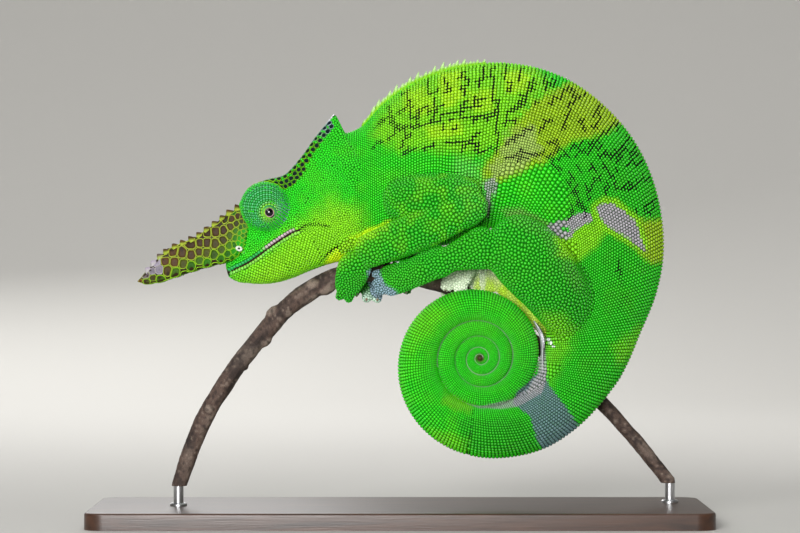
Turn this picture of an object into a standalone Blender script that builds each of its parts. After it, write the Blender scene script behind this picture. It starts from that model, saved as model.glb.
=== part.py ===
"""A two-horned chameleon, life size, gripping a cut length of arched branch on a plain display stand.

Run with: blender --background --python part.py

Lengths are in millimetres and become metres when a mesh is made. X runs along the animal, with the snout
towards -X, Z is up, and the near side, the animal's left, is towards -Y. The origin is under the middle of
the stand, on the surface that it stands on. Places in the side view are written as (x, z).
"""

import math

import bmesh
import bpy
import numpy as np
from mathutils import Matrix, Vector

MM = 0.001
GAP = 0.3
SIDES = {"left": -1, "right": 1}
LEFT, RIGHT = -1, 1

# The stand: a flat base and two short rods, up to the cut ends of the branch.
BASE_LENGTH, BASE_WIDTH, BASE_HEIGHT = 184.0, 64.0, 5.0
BASE_CORNER, BASE_EDGE = 6.0, 0.8
ROD_RADIUS = 1.5
CUT_HEIGHT = 11.0

# The branch: x, y, z along its middle, and its radius.
BRANCH = [
    (-66.2, -3.0, 11.0, 2.3),
    (-60.2, -2.5, 27.5, 2.45),
    (-51.6, -2.0, 42.5, 2.6),
    (-42.6, -1.5, 54.5, 2.75),
    (-32.1, -1.0, 65.7, 2.9),
    (-24.6, -0.5, 70.8, 3.0),
    (-16.5, 0.0, 73.9, 3.0),
    (-8.4, 0.6, 75.0, 2.95),
    (0.0, 2.2, 74.4, 2.9),
    (10.5, 6.0, 72.0, 2.8),
    (22.5, 10.8, 66.8, 2.7),
    (36.0, 12.8, 56.9, 2.5),
    (49.5, 13.2, 46.1, 2.3),
    (61.8, 12.4, 34.7, 2.15),
    (73.5, 10.6, 21.5, 2.05),
    (81.8, 9.4, 11.0, 2.0),
]
BRANCH_CUTS = (0.27, 0.46, 0.70)
BRANCH_KNOTS = [(0.353, 60, 1.5), (0.37, 160, 1.9), (0.285, 15, 1.7), (0.248, 165, 1.4), (0.12, 80, 1.0), (0.8, 100, 0.9)]

# The trunk, from behind the head to the vent: x, z on the back, x, z on the belly, and half the width.
TRUNK = [
    (-16.5, 116.6, -16.5, 77.9, 8.6),
    (-11.4, 119.0, -12.0, 78.8, 8.9),
    (-5.4, 125.5, -4.5, 80.9, 9.8),
    (3.0, 131.5, 3.6, 83.6, 11.0),
    (13.5, 135.8, 12.0, 82.4, 12.0),
    (22.5, 137.5, 19.2, 84.6, 12.6),
    (31.5, 137.9, 25.5, 87.4, 13.0),
    (42.3, 136.1, 30.0, 87.8, 13.0),
    (52.8, 131.6, 33.6, 86.9, 12.8),
    (62.4, 124.1, 36.6, 85.0, 12.3),
    (70.2, 114.8, 39.0, 81.5, 11.8),
    (75.6, 104.0, 41.1, 76.4, 11.2),
    (78.6, 92.0, 42.6, 71.0, 10.6),
    (79.2, 80.0, 43.5, 65.0, 10.0),
    (77.0, 68.3, 43.8, 59.0, 9.4),
    (72.3, 56.6, 43.2, 53.6, 8.8),
]
BACK_KEEL, BELLY_ROUND = 0.66, 0.5
TRUNK_NODES = {"neck": (0.0, 2.0), "torso_front": (2.0, 5.0), "torso_middle": (5.0, 9.0), "torso_rear": (9.0, 13.0)}
STATION_GAP = 0.045

# The coil of the tail, in turns from straight below its centre: the outer radius at a few turns, and then
# the share of it that is left after each further turn.
COIL_CENTRE = (24.0, 49.1)
COIL_START, COIL_END = -0.24, 4.9
COIL_RADII = [(-0.29, 48.5), (-0.24, 44.0), (-0.2, 39.6), (-0.15, 36.0), (-0.1, 33.6), (-0.05, 31.4), (0.0, 30.0),
              (0.125, 27.2), (0.25, 24.6), (0.5, 20.7), (0.75, 17.7), (1.0, 14.6)]
COIL_SHRINK, COIL_CLOSES = 0.59, 0.36
COIL_STEP = 1 / 24
TAIL_HALF_WIDTH, TAIL_NARROWS = 6.2, 0.585
TIP_TAPER = 0.8
TAIL_NODES = {
    "tail_second": (0.0, 0.5, 1 / 24, 16),
    "tail_third": (0.5, 1.0, 1 / 22, 16),
    "tail_fourth": (1.0, 2.0, 1 / 22, 12),
    "tail_fifth": (2.0, 3.0, 1 / 20, 10),
    "tail_tip": (3.0, COIL_END, 1 / 18, 8),
}

# The head lies in a frame of its own: u forwards along the mouth, v upwards, from the corner of the mouth.
HEAD_ORIGIN, HEAD_SLOPE = (-30.0, 87.5), math.radians(26.6)
HEAD_TOP = [(25.3, -1.2), (24.4, 1.2), (22.6, 3.6), (18.0, 9.4), (13.2, 14.8), (10.5, 17.0), (7.5, 18.3),
            (2.4, 18.1), (-3.3, 17.0), (-9.6, 19.3), (-16.9, 23.2), (-24.9, 26.8)]
HEAD_BOTTOM = [(25.3, -3.6), (24.0, -5.4), (20.7, -7.8), (15.4, -10.6), (9.4, -12.1), (2.8, -12.6),
               (-3.5, -13.4), (-9.0, -14.8), (-18.0, -16.5), (-24.9, -17.0)]
HEAD_ROOF = [(25.3, 0.6), (22.6, 2.3), (18.0, 3.6), (13.2, 4.7), (7.5, 5.4), (-3.3, 5.6), (-9.6, 4.9),
             (-16.9, 3.3), (-24.9, 0.9)]
HEAD_CHEEK = [(25.3, 0.9), (24.0, 2.8), (21.0, 4.5), (18.0, 5.6), (13.2, 6.9), (7.5, 7.9), (2.4, 8.7),
              (-3.3, 9.5), (-9.6, 9.9), (-16.9, 9.4), (-24.9, 8.8)]
HEAD_STATIONS = (25.3, 24.4, 22.8, 20.2, 16.8, 13.2, 10.0, 7.0, 3.5, 0.0, -3.3, -7.0, -11.5, -17.0, -21.0, -24.9)
NAPE_X = -16.8
MOUTH = [(28.0, -1.8), (24.7, -1.8), (17.7, -1.9), (10.5, -0.8), (5.1, -0.1), (1.0, 0.0), (-2.8, -1.1)]
JAW_BACK = [(-6.2, -22.0), (28.0, -22.0)]
CASQUE_EDGE = [(-2.9, 12.4), (-2.9, 34.0), (-30.0, 34.0), (-30.0, 12.4)]
LIP_RADIUS = 0.42

# The eye: a turret of skin over the ball, which shows through a small round hole.
TURRET_CENTRE = (-40.2, 94.4)
TURRET_RADIUS, TURRET_HALF_WIDTH, TURRET_OUT = 7.7, 5.7, 6.7
LID_OFFSET, LID_RADIUS = (1.5, -1.8), 1.75
LID_RIM, EYE_DEPTH, EYE_SUNK = 0.45, 3.4, 0.75
NOSTRIL, NOSTRIL_RADIUS = (-48.0, 81.8), 0.65

# The horns are blades: x, z on the upper edge, x, z on the lower edge, distance from the middle, half the
# thickness.
HORN = [
    (-44.0, 94.7, -46.5, 80.4, 4.3, 1.9),
    (-48.4, 94.1, -50.4, 78.1, 4.4, 1.85),
    (-52.4, 91.7, -53.6, 77.2, 4.6, 1.75),
    (-57.0, 88.3, -57.2, 76.2, 4.8, 1.65),
    (-61.5, 85.1, -61.2, 75.1, 5.0, 1.55),
    (-66.2, 83.3, -65.4, 73.7, 5.1, 1.45),
    (-70.6, 80.7, -69.4, 72.3, 5.1, 1.3),
    (-74.2, 77.3, -73.2, 71.3, 5.0, 1.1),
    (-77.0, 73.9, -76.4, 71.1, 4.9, 0.8),
    (-78.4, 72.5, -78.2, 71.7, 4.85, 0.35),
]
PLATE_ROWS, PLATE_COLUMNS = 3, 6
PLATE_PROUD, PLATE_SLOPE, PLATE_SUNK = 0.28, 0.72, 0.8
TOOTH_COUNT, TOOTH_PROUD = 7, 1.1

# The spines along the nape and the shoulders: first and last station of the trunk, and their sizes.
SPINE_FROM, SPINE_TO, SPINE_COUNT = 1.12, 5.3, 19
SPINE_HEIGHTS = (2.5, 1.5, 2.2)
SPINE_RADIUS, SPINE_SUNK, SPINE_LEAN = 0.75, 1.2, 0.25

# Limbs: x, y, z along the middle, half the depth in the side view, and half the width across. The y values
# are for the left limb, and are turned round for the right one.
UPPER_ARM = [
    (-5.0, -6.5, 96.5, 5.6, 3.6),
    (1.0, -10.3, 96.7, 6.4, 4.4),
    (9.0, -12.6, 97.7, 6.0, 4.3),
    (18.0, -13.6, 98.3, 5.2, 3.9),
    (24.0, -13.6, 97.3, 4.4, 3.4),
]
FOREARM = [
    (25.8, -14.6, 95.5, 2.6, 2.2),
    (23.0, -15.0, 94.6, 4.9, 3.3),
    (16.2, -15.0, 92.3, 6.0, 3.8),
    (7.5, -14.0, 88.1, 6.3, 3.9),
    (-1.5, -12.6, 84.2, 5.9, 3.6),
    (-9.0, -11.0, 81.3, 5.4, 3.3),
    (-13.0, -9.8, 79.3, 5.3, 3.1),
]
FAR_FOREARM = [
    (25.8, 14.6, 95.5, 2.6, 2.2),
    (23.0, 15.0, 94.6, 4.9, 3.3),
    (17.0, 15.0, 92.1, 5.8, 3.7),
    (11.0, 14.2, 88.5, 5.6, 3.6),
    (6.6, 13.0, 84.9, 4.8, 3.3),
    (4.2, 11.9, 82.3, 4.4, 3.1),
]
THIGH = [
    (54.5, -2.5, 56.9, 7.4, 3.6),
    (50.5, -7.6, 62.7, 9.0, 5.0),
    (44.5, -12.2, 71.4, 10.6, 6.0),
    (37.5, -14.2, 79.4, 11.4, 5.8),
    (31.5, -15.0, 84.4, 9.8, 5.0),
    (27.0, -15.0, 87.2, 6.5, 3.8),
]
SHIN = [
    (29.5, -14.6, 82.9, 6.0, 3.6),
    (24.0, -14.8, 81.9, 6.6, 3.8),
    (19.0, -14.5, 80.3, 5.2, 3.5),
    (15.0, -14.1, 78.9, 4.2, 3.3),
    (11.5, -13.4, 77.1, 4.4, 3.1),
    (8.3, -12.4, 75.7, 4.0, 2.9),
]
FAR_THIGH = [
    (55.0, 2.5, 55.4, 7.6, 3.6),
    (50.5, 7.6, 60.4, 9.2, 5.0),
    (43.5, 11.4, 67.9, 9.8, 5.4),
    (36.0, 12.8, 74.5, 9.4, 5.0),
    (29.5, 13.2, 79.3, 6.6, 4.0),
]
FAR_SHIN = [
    (31.5, 12.6, 76.9, 5.0, 3.4),
    (27.0, 12.4, 74.9, 5.4, 3.4),
    (22.5, 11.6, 73.5, 4.6, 3.1),
    (18.5, 10.6, 72.9, 4.0, 2.8),
]

# Feet: two bundles of fused toes close round the branch like a mitten. Each bundle is a row of
# x, y, z, half depth, half width, then its toes as (sideways place in half depths, half length).
HAND_OUTER = [
    (-11.6, -10.0, 80.1, 5.0, 3.1),
    (-13.5, -8.2, 76.3, 5.3, 3.0),
    (-14.9, -6.5, 72.5, 4.8, 2.6),
    (-16.0, -5.2, 69.3, 3.8, 2.2),
    (-16.5, -4.5, 67.7, 3.2, 1.9),
]
HAND_INNER = [
    (-11.8, -7.4, 81.3, 3.2, 2.0),
    (-12.6, -2.4, 81.5, 3.8, 2.3),
    (-13.2, 2.6, 79.9, 4.1, 2.3),
    (-13.8, 5.4, 76.3, 4.1, 2.2),
    (-14.4, 5.8, 72.3, 3.8, 2.1),
    (-14.8, 4.8, 69.3, 3.2, 1.8),
]
FOOT_OUTER = [
    (9.0, -12.4, 75.9, 4.0, 2.8),
    (5.2, -11.0, 74.9, 4.2, 2.9),
    (0.2, -8.6, 73.3, 4.8, 2.8),
    (-4.0, -6.4, 72.2, 4.9, 2.5),
    (-6.4, -5.5, 71.8, 4.4, 2.2),
]
FOOT_INNER = [
    (2.0, -8.2, 78.5, 2.8, 1.9),
    (-1.6, -4.0, 80.3, 3.2, 2.1),
    (-4.4, 1.0, 80.3, 3.6, 2.2),
    (-6.6, 5.2, 78.1, 3.8, 2.2),
    (-7.8, 6.6, 74.1, 3.8, 2.1),
    (-8.3, 5.2, 69.7, 3.8, 2.0),
    (-8.4, 2.4, 67.2, 3.6, 1.8),
]
FAR_HAND_OUTER = [
    (3.6, 11.4, 81.5, 4.4, 2.9),
    (2.4, 10.6, 77.5, 4.6, 2.8),
    (1.4, 8.4, 73.3, 4.2, 2.5),
    (0.6, 6.4, 70.1, 3.6, 2.0),
]
FAR_HAND_INNER = [
    (3.4, 9.6, 82.1, 3.0, 1.9),
    (2.4, 5.2, 81.9, 3.5, 2.1),
    (1.6, 0.4, 80.3, 3.6, 2.1),
    (0.9, -2.6, 76.9, 3.5, 2.0),
    (0.3, -2.6, 73.1, 3.1, 1.8),
]
FAR_FOOT_OUTER = [
    (20.0, 11.4, 73.7, 3.8, 2.6),
    (17.6, 12.6, 71.5, 4.0, 2.5),
    (15.8, 12.9, 68.3, 3.8, 2.3),
    (14.8, 12.0, 65.7, 3.2, 2.0),
]
FAR_FOOT_INNER = [
    (20.5, 10.2, 75.1, 3.2, 2.2),
    (18.0, 7.0, 74.7, 3.5, 2.2),
    (15.8, 3.6, 73.1, 3.5, 2.1),
    (14.8, 2.6, 70.9, 3.2, 1.9),
]
TOE_LENGTH, CLAW_LENGTH, CLAW_RADIUS = 2.0, 1.9, 0.5

COLOURS = {
    "skin": ((0.05, 0.46, 0.02), 0.45, 0.0),
    "horn": ((0.26, 0.16, 0.05), 0.4, 0.0),
    "lid": ((0.03, 0.36, 0.12), 0.5, 0.0),
    "eye": ((0.01, 0.006, 0.008), 0.1, 0.0),
    "branch": ((0.16, 0.11, 0.08), 0.8, 0.0),
    "base": ((0.03, 0.02, 0.016), 0.4, 0.0),
    "rod": ((0.55, 0.55, 0.56), 0.3, 1.0),
}


# Curves and sections


def smooth(knots, places, values):
    """Values at the given places of a smooth curve through the knots, each a row of numbers."""
    knots, places = np.asarray(knots, float), np.asarray(places, float)
    values = np.asarray(values, float).reshape(len(knots), -1)
    steps = np.diff(knots)
    slopes = np.diff(values, axis=0) / steps[:, None]
    tangents = np.empty_like(values)
    before, after = steps[:-1, None], steps[1:, None]
    tangents[1:-1] = (slopes[:-1] * after + slopes[1:] * before) / (before + after)
    tangents[0], tangents[-1] = slopes[0], slopes[-1]
    at = np.clip(np.searchsorted(knots, places, side="right") - 1, 0, len(knots) - 2)
    width = steps[at]
    t = ((places - knots[at]) / width)[:, None]
    width = width[:, None]
    return (
        (1 + 2 * t) * (1 - t) ** 2 * values[at]
        + t * (1 - t) ** 2 * width * tangents[at]
        + t * t * (3 - 2 * t) * values[at + 1]
        + t * t * (t - 1) * width * tangents[at + 1]
    )


def resample(rows, places):
    """Rows read off a smooth curve through these rows, at these shares of its length."""
    rows = np.asarray(rows, float)
    return smooth(shares_of(rows), places, rows)


def shares_of(rows):
    """How far along the line each row is, as a share of its length."""
    length = np.concatenate([[0], np.cumsum(np.linalg.norm(np.diff(rows[:, :3], axis=0), axis=1))])
    return length / length[-1]


def rounded(rows, count, ends=(True, True)):
    """The rows of a limb at an even spacing, with rows added that round off its ends."""
    rows = np.asarray(rows, float)
    length = np.linalg.norm(np.diff(rows[:, :3], axis=0), axis=1).sum()
    start = min(0.3, 0.8 * rows[0, 3] / length) if ends[0] else 0.0
    stop = 1 - (min(0.3, 0.8 * rows[-1, 3] / length) if ends[1] else 0.0)
    places, shares = list(np.linspace(start, stop, count)), [1.0] * count
    for angle in np.radians([60, 33, 10]):
        if ends[0]:
            places.insert(0, start * (1 - math.cos(angle)))
            shares.insert(0, math.sin(angle))
        if ends[1]:
            places.append(1 - (1 - stop) * (1 - math.cos(angle)))
            shares.append(math.sin(angle))
    made = resample(rows, places)
    made[:, 3:] *= np.array(shares)[:, None]
    return made


def profile(points, u):
    """One value of a side-view profile, given as (u, value) from the front backwards."""
    ordered = sorted(points)
    return smooth([p[0] for p in ordered], np.atleast_1d(u), [p[1] for p in ordered])[:, 0]


def trunk_ring(back, belly, middle, half_width, count, grow=0.0, keel=BACK_KEEL):
    """A ring of the trunk or the tail, sharp on the back and round on the belly."""
    back, belly = np.array([back[0], 0, back[1]]), np.array([belly[0], 0, belly[1]])
    up = (back - belly) / np.linalg.norm(back - belly)
    back, belly = back + up * grow, belly - up * grow
    turn = 2 * np.pi * np.arange(count) / count
    down = (1 - np.cos(turn)) / 2
    widest = keel / (keel + BELLY_ROUND)
    full = widest**keel * (1 - widest) ** BELLY_ROUND
    side = np.sign(np.sin(turn)) * (half_width + grow) * down**keel * np.abs(1 - down) ** BELLY_ROUND / full
    ring = back + np.outer(down, belly - back)
    ring[:, 1] += middle + side
    return ring


def frame_of(way, along):
    """The directions of a section's depth and width, square to the way that the limb runs."""
    if along is None:
        deep = np.cross(way, (0.0, 1.0, 0.0))
    else:
        deep = np.array(along) - way * np.dot(along, way)
    deep /= np.linalg.norm(deep)
    return deep, np.cross(deep, way)


def limb_rings(rows, count, grow=0.0, along=None, ahead=None):
    """Oval rings square to a limb's own line. Their depth is in the side view, or runs as given by along."""
    rows = np.asarray(rows, float)
    middle = rows[:, :3].copy()
    ahead = np.gradient(middle, axis=0) if ahead is None else np.asarray(ahead, float)
    ahead /= np.linalg.norm(ahead, axis=1)[:, None]
    middle[0] -= ahead[0] * grow
    middle[-1] += ahead[-1] * grow
    turn = 2 * np.pi * np.arange(count) / count
    rings = []
    for place, way, depth, width in zip(middle, ahead, rows[:, 3] + grow, rows[:, 4] + grow, strict=True):
        deep, wide = frame_of(way, along)
        rings.append(place + np.outer(np.cos(turn) * depth, deep) + np.outer(np.sin(turn) * width, wide))
    return rings


def turned(rows, side):
    """The rows of a left limb, set on this side of the animal."""
    return [(x, y * -side, z, *sizes) for x, y, z, *sizes in rows]


# Meshes


def new_object(name, mesh, material=None):
    made = bpy.data.objects.new(name, mesh)
    collection.objects.link(made)
    if material:
        mesh.materials.clear()
        mesh.materials.append(materials[material])
    return made


def loft(name, rings, material=None, points=(False, False)):
    """A closed body through rings with the same number of points. Its ends are flat, or rounded to a point."""
    shape = bmesh.new()
    made = [[shape.verts.new(Vector(p) * MM) for p in ring] for ring in rings]
    count = len(made[0])
    for one, two in zip(made, made[1:], strict=False):
        for i in range(count):
            shape.faces.new((one[i], one[(i + 1) % count], two[(i + 1) % count], two[i]))
    for end, (ring, inner, pointed) in enumerate(
        ((rings[0], rings[1], points[0]), (rings[-1], rings[-2], points[1]))
    ):
        rim = made[0] if end == 0 else made[-1]
        if not pointed:
            shape.faces.new(rim)
            continue
        middle, before = np.mean(ring, axis=0), np.mean(inner, axis=0)
        out = (middle - before) / np.linalg.norm(middle - before)
        reach = 0.45 * np.linalg.norm(np.asarray(ring) - middle, axis=1).min()
        tip = shape.verts.new(Vector(middle + out * reach) * MM)
        for i in range(count):
            shape.faces.new((rim[i], rim[(i + 1) % count], tip))
    bmesh.ops.recalc_face_normals(shape, faces=shape.faces)
    mesh = bpy.data.meshes.new(name)
    shape.to_mesh(mesh)
    shape.free()
    return new_object(name, mesh, material)


def ball(name, centre, radii, segments=16, rings=8, material=None):
    shape = bmesh.new()
    bmesh.ops.create_uvsphere(shape, u_segments=segments, v_segments=rings, radius=MM)
    place = Matrix.Translation(Vector(centre) * MM) @ Matrix.Diagonal((*radii, 1))
    bmesh.ops.transform(shape, matrix=place, verts=shape.verts)
    mesh = bpy.data.meshes.new(name)
    shape.to_mesh(mesh)
    shape.free()
    return new_object(name, mesh, material)


def cone(name, foot, tip, radius, tip_radius=0.0, segments=6, material=None):
    """A cone, or a cylinder where both radii are alike, from its foot to its tip."""
    foot, tip = Vector(foot) * MM, Vector(tip) * MM
    shape = bmesh.new()
    bmesh.ops.create_cone(
        shape,
        cap_ends=True,
        segments=segments,
        radius1=radius * MM,
        radius2=tip_radius * MM,
        depth=(tip - foot).length,
    )
    turn = (tip - foot).to_track_quat("Z", "Y").to_matrix().to_4x4()
    bmesh.ops.transform(shape, matrix=Matrix.Translation((foot + tip) / 2) @ turn, verts=shape.verts)
    mesh = bpy.data.meshes.new(name)
    shape.to_mesh(mesh)
    shape.free()
    return new_object(name, mesh, material)


def prism(name, outline, depth, middle=0.0):
    """A block whose outline is given in the side view, as (x, z), and which runs across the animal."""
    drawn = bpy.data.curves.new(name, "CURVE")
    drawn.dimensions, drawn.fill_mode = "2D", "BOTH"
    drawn.extrude = depth / 2 * MM
    line = drawn.splines.new("POLY")
    line.points.add(len(outline) - 1)
    for point, (x, z) in zip(line.points, outline, strict=True):
        point.co = (x * MM, z * MM, 0, 1)
    line.use_cyclic_u = True
    curve = new_object(name + "_outline", drawn)
    curve.matrix_world = Matrix.Translation((0, middle * MM, 0)) @ Matrix.Rotation(math.pi / 2, 4, "X")
    made = as_mesh(curve, name)
    return made


def as_mesh(curve, name):
    """The curve as a closed mesh, with the same place."""
    bpy.context.view_layer.update()
    mesh = bpy.data.meshes.new_from_object(curve.evaluated_get(bpy.context.evaluated_depsgraph_get()))
    mesh.transform(curve.matrix_world)
    shape = bmesh.new()
    shape.from_mesh(mesh)
    bmesh.ops.remove_doubles(shape, verts=shape.verts, dist=1e-6)
    bmesh.ops.recalc_face_normals(shape, faces=shape.faces)
    shape.to_mesh(mesh)
    shape.free()
    bpy.data.objects.remove(curve)
    return new_object(name, mesh)


def as_cutter(made):
    """Hides a body that only cuts others."""
    collection.objects.unlink(made)
    cutters.objects.link(made)
    made.hide_render, made.display_type = True, "WIRE"
    return made


def keep_largest(made):
    """Drops every closed surface but the largest."""
    shape = bmesh.new()
    shape.from_mesh(made.data)
    left, groups = set(shape.verts), []
    while left:
        group, edge = set(), [left.pop()]
        while edge:
            vertex = edge.pop()
            group.add(vertex)
            near = {e.other_vert(vertex) for e in vertex.link_edges} & left
            left -= near
            edge.extend(near)
        groups.append(group)
    groups.sort(key=lambda group: spread(group), reverse=True)
    for group in groups[1:]:
        bmesh.ops.delete(shape, geom=list(group), context="VERTS")
    shape.to_mesh(made.data)
    shape.free()


def spread(group):
    """The size of the box round these vertices, corner to corner."""
    places = np.array([v.co for v in group])
    return float(np.linalg.norm(np.ptp(places, axis=0)))


def combine(made, others, operation, remove=True):
    """Joins the other bodies to made, or cuts them from it or keeps what they share, and applies it."""
    for other in others:
        step = made.modifiers.new("combine", "BOOLEAN")
        step.operation, step.solver, step.object = operation, "EXACT", other
        apply_modifiers(made)
    if remove:
        for other in others:
            bpy.data.objects.remove(other)
    clean(made)
    keep_largest(made)
    return made


def apply_modifiers(made):
    bpy.context.view_layer.update()
    mesh = bpy.data.meshes.new_from_object(made.evaluated_get(bpy.context.evaluated_depsgraph_get()))
    made.modifiers.clear()
    used = made.data.materials[:1]
    made.data = mesh
    mesh.materials.clear()
    for material in used:
        mesh.materials.append(material)


def clean(made):
    """Welds the slivers that a Boolean leaves."""
    shape = bmesh.new()
    shape.from_mesh(made.data)
    bmesh.ops.remove_doubles(shape, verts=shape.verts, dist=2e-6)
    bmesh.ops.dissolve_degenerate(shape, edges=shape.edges, dist=1e-6)
    bmesh.ops.triangulate(shape, faces=[f for f in shape.faces if len(f.verts) > 4])
    bmesh.ops.recalc_face_normals(shape, faces=shape.faces)
    shape.to_mesh(made.data)
    shape.free()


def box_of(made):
    places = np.array([v.co for v in made.data.vertices])
    return places.min(axis=0), places.max(axis=0)


def near(one, two):
    """Whether the boxes round two bodies meet."""
    (low, high), (start, end) = box_of(one), box_of(two)
    return bool((low <= end).all() and (start <= high).all())


def fit(made, neighbours):
    """Cuts a body back from the cutters of the neighbours that it meets."""
    return combine(made, [n for n in neighbours if near(made, n)], "DIFFERENCE", remove=False)


def smooth_shaded(made):
    made.data.shade_smooth()
    made.data.set_sharp_from_angle(angle=math.radians(40))


# The trunk and the tail


def coil_radius(turn):
    """The outer radius of the coil at this turn."""
    if turn <= 1:
        return float(smooth([r[0] for r in COIL_RADII], [turn], [r[1] for r in COIL_RADII])[0, 0])
    closing = 1 - COIL_CLOSES * min(2.0, max(0.0, turn - 3))
    return COIL_RADII[-1][1] * COIL_SHRINK ** (turn - 1) * closing


def coil_section(turn):
    """x, z on the back, x, z on the belly, and half the width of the tail at this turn."""
    out = np.array([-math.sin(2 * math.pi * turn), -math.cos(2 * math.pi * turn)])
    outer = coil_radius(turn)
    inner = coil_radius(turn + 1) + GAP
    end = min(1.0, (COIL_END - turn) / TIP_TAPER)
    ease = max(0.0, end) ** 0.6
    inner = outer - (outer - inner) * (0.25 + 0.75 * ease)
    width = TAIL_HALF_WIDTH * TAIL_NARROWS**turn if turn > 0 else TAIL_HALF_WIDTH + 10.0 * abs(turn)
    back, belly = COIL_CENTRE + out * outer, COIL_CENTRE + out * inner
    return (*back, *belly, width * (0.3 + 0.7 * ease))


def trunk_sections(stations):
    """Sections of the trunk, whose last stations run over into the coil."""
    rows = [*TRUNK, coil_section(COIL_START), coil_section(COIL_START + COIL_STEP)]
    return smooth(np.arange(len(rows)), stations, rows)


def trunk_rings(stations, count, grow=0.0):
    return [
        trunk_ring(row[:2], row[2:4], 0.0, row[4], count, grow, BACK_KEEL)
        for row in trunk_sections(stations)
    ]


def coil_rings(turns, count, grow=0.0):
    rings = []
    for turn in turns:
        row = coil_section(turn)
        keel = 0.5 + (BACK_KEEL - 0.5) * max(0.0, min(1.0, 0.3 - turn))
        rings.append(trunk_ring(row[:2], row[2:4], 0.0, row[4], count, grow, keel))
    return rings


def spines(first, last):
    """The cones of the crest that stand between two stations of the trunk, with their roots sunk in."""
    made = []
    for i, station in enumerate(np.linspace(SPINE_FROM, SPINE_TO, SPINE_COUNT)):
        if not first + 0.12 < station < last - 0.16:
            continue
        row = trunk_sections([station])[0]
        back, belly = np.array([row[0], 0, row[1]]), np.array([row[2], 0, row[3]])
        up = (back - belly) / np.linalg.norm(back - belly)
        along = np.array([up[2], 0, -up[0]])
        fade = min(1.0, 0.5 + 0.25 * i, 0.3 + 0.12 * (SPINE_COUNT - i))
        height = SPINE_HEIGHTS[i % len(SPINE_HEIGHTS)] * fade
        tip = back + up * height + along * height * SPINE_LEAN
        made.append(cone(f"spine_{i}", back - up * SPINE_SUNK, tip, SPINE_RADIUS * (0.75 + 0.25 * fade), 0.12, 5))
    return made


def make_trunk():
    """The trunk, in lengths, and the cutter that keeps its gap."""
    made = {}
    for name, (first, last) in TRUNK_NODES.items():
        start = first + (STATION_GAP if first > 0 else 0)
        stations = np.linspace(start, last - STATION_GAP, 2 * round(last - first) + 1)
        body = loft(name, trunk_rings(stations, 20), "skin")
        crest = spines(first, last)
        if crest:
            combine(body, crest, "UNION")
        made[name] = body
    whole = trunk_rings(np.linspace(0.0, len(TRUNK) - 0.5, 2 * len(TRUNK)), 20, GAP)
    return made, as_cutter(loft("trunk_cutter", whole))


def make_tail():
    """The tail, in lengths, and the cutter that keeps its gap. The first runs from the trunk into the coil."""
    last = len(TRUNK)
    first_rings = trunk_rings(np.linspace(13.0 + STATION_GAP, last, 7), 20)
    base_turns = np.linspace(COIL_START + COIL_STEP, -gap_in_turns(0.0), 5)
    made = {"tail_base": loft("tail_base", first_rings + coil_rings(base_turns, 20), "skin")}
    for name, (first, last, step, count) in TAIL_NODES.items():
        turns = np.linspace(first, last, round((last - first) / step) + 1)
        turns[0] += gap_in_turns(first)
        tip = last == COIL_END
        turns[-1] -= 0 if tip else gap_in_turns(last)
        made[name] = loft(name, coil_rings(turns, count), "skin", (False, tip))
    outer = coil_rings(np.linspace(0.1, 0.95, 22), 16, GAP)
    return made, as_cutter(loft("tail_cutter", outer))


def gap_in_turns(turn):
    """Half a gap along the tail, as a share of a turn."""
    return GAP / 2 / (2 * math.pi * coil_radius(turn + 0.6))


# The head


def from_head(u, v):
    """(x, z) of a point of the head's own frame."""
    ahead, up = math.cos(HEAD_SLOPE), math.sin(HEAD_SLOPE)
    return (HEAD_ORIGIN[0] - u * ahead - v * up, HEAD_ORIGIN[1] - u * up + v * ahead)


def head_outline(u, grow=0.0):
    """Half the outline of the head's section at u, from the roof to the throat, as (y, v)."""
    top, bottom = profile(HEAD_TOP, u)[0] + grow, profile(HEAD_BOTTOM, u)[0] - grow
    roof, cheek = profile(HEAD_ROOF, u)[0] + grow, profile(HEAD_CHEEK, u)[0] + grow
    tall = top - bottom
    return np.array([
        (0, top - 0.025 * tall),
        (roof * 0.55, top - 0.01 * tall),
        (roof, top),
        (roof + (cheek - roof) * 0.42, bottom + 0.82 * tall),
        (roof + (cheek - roof) * 0.88, bottom + 0.62 * tall),
        (cheek, bottom + 0.42 * tall),
        (cheek * 0.95, bottom + 0.26 * tall),
        (cheek * 0.78, bottom + 0.12 * tall),
        (cheek * 0.45, bottom + 0.03 * tall),
        (0, bottom),
    ])


def head_ring(u, grow=0.0):
    half = head_outline(u, grow)
    whole = np.concatenate([half, half[-2:0:-1] * (-1, 1)])
    ring = []
    for y, v in whole:
        x, z = from_head(u, v)
        ring.append((x, y, z))
    return ring


def head_side(u, v):
    """How far out the head's side is at a point of its side view."""
    half = head_outline(u)[2:]
    return float(np.interp(-v, -half[:, 1], half[:, 0]))


def lip_bead(name, shift, side):
    """A thin bead along the mouth, on one side."""
    rows = []
    for u in np.linspace(23.6, 1.5, 9):
        v = profile(MOUTH, u)[0] + shift
        x, z = from_head(u, v)
        rows.append((x, side * (head_side(u, v) - 0.12), z, LIP_RADIUS, LIP_RADIUS))
    return loft(name, limb_rings(rows, 6), None, (True, True))


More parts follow.
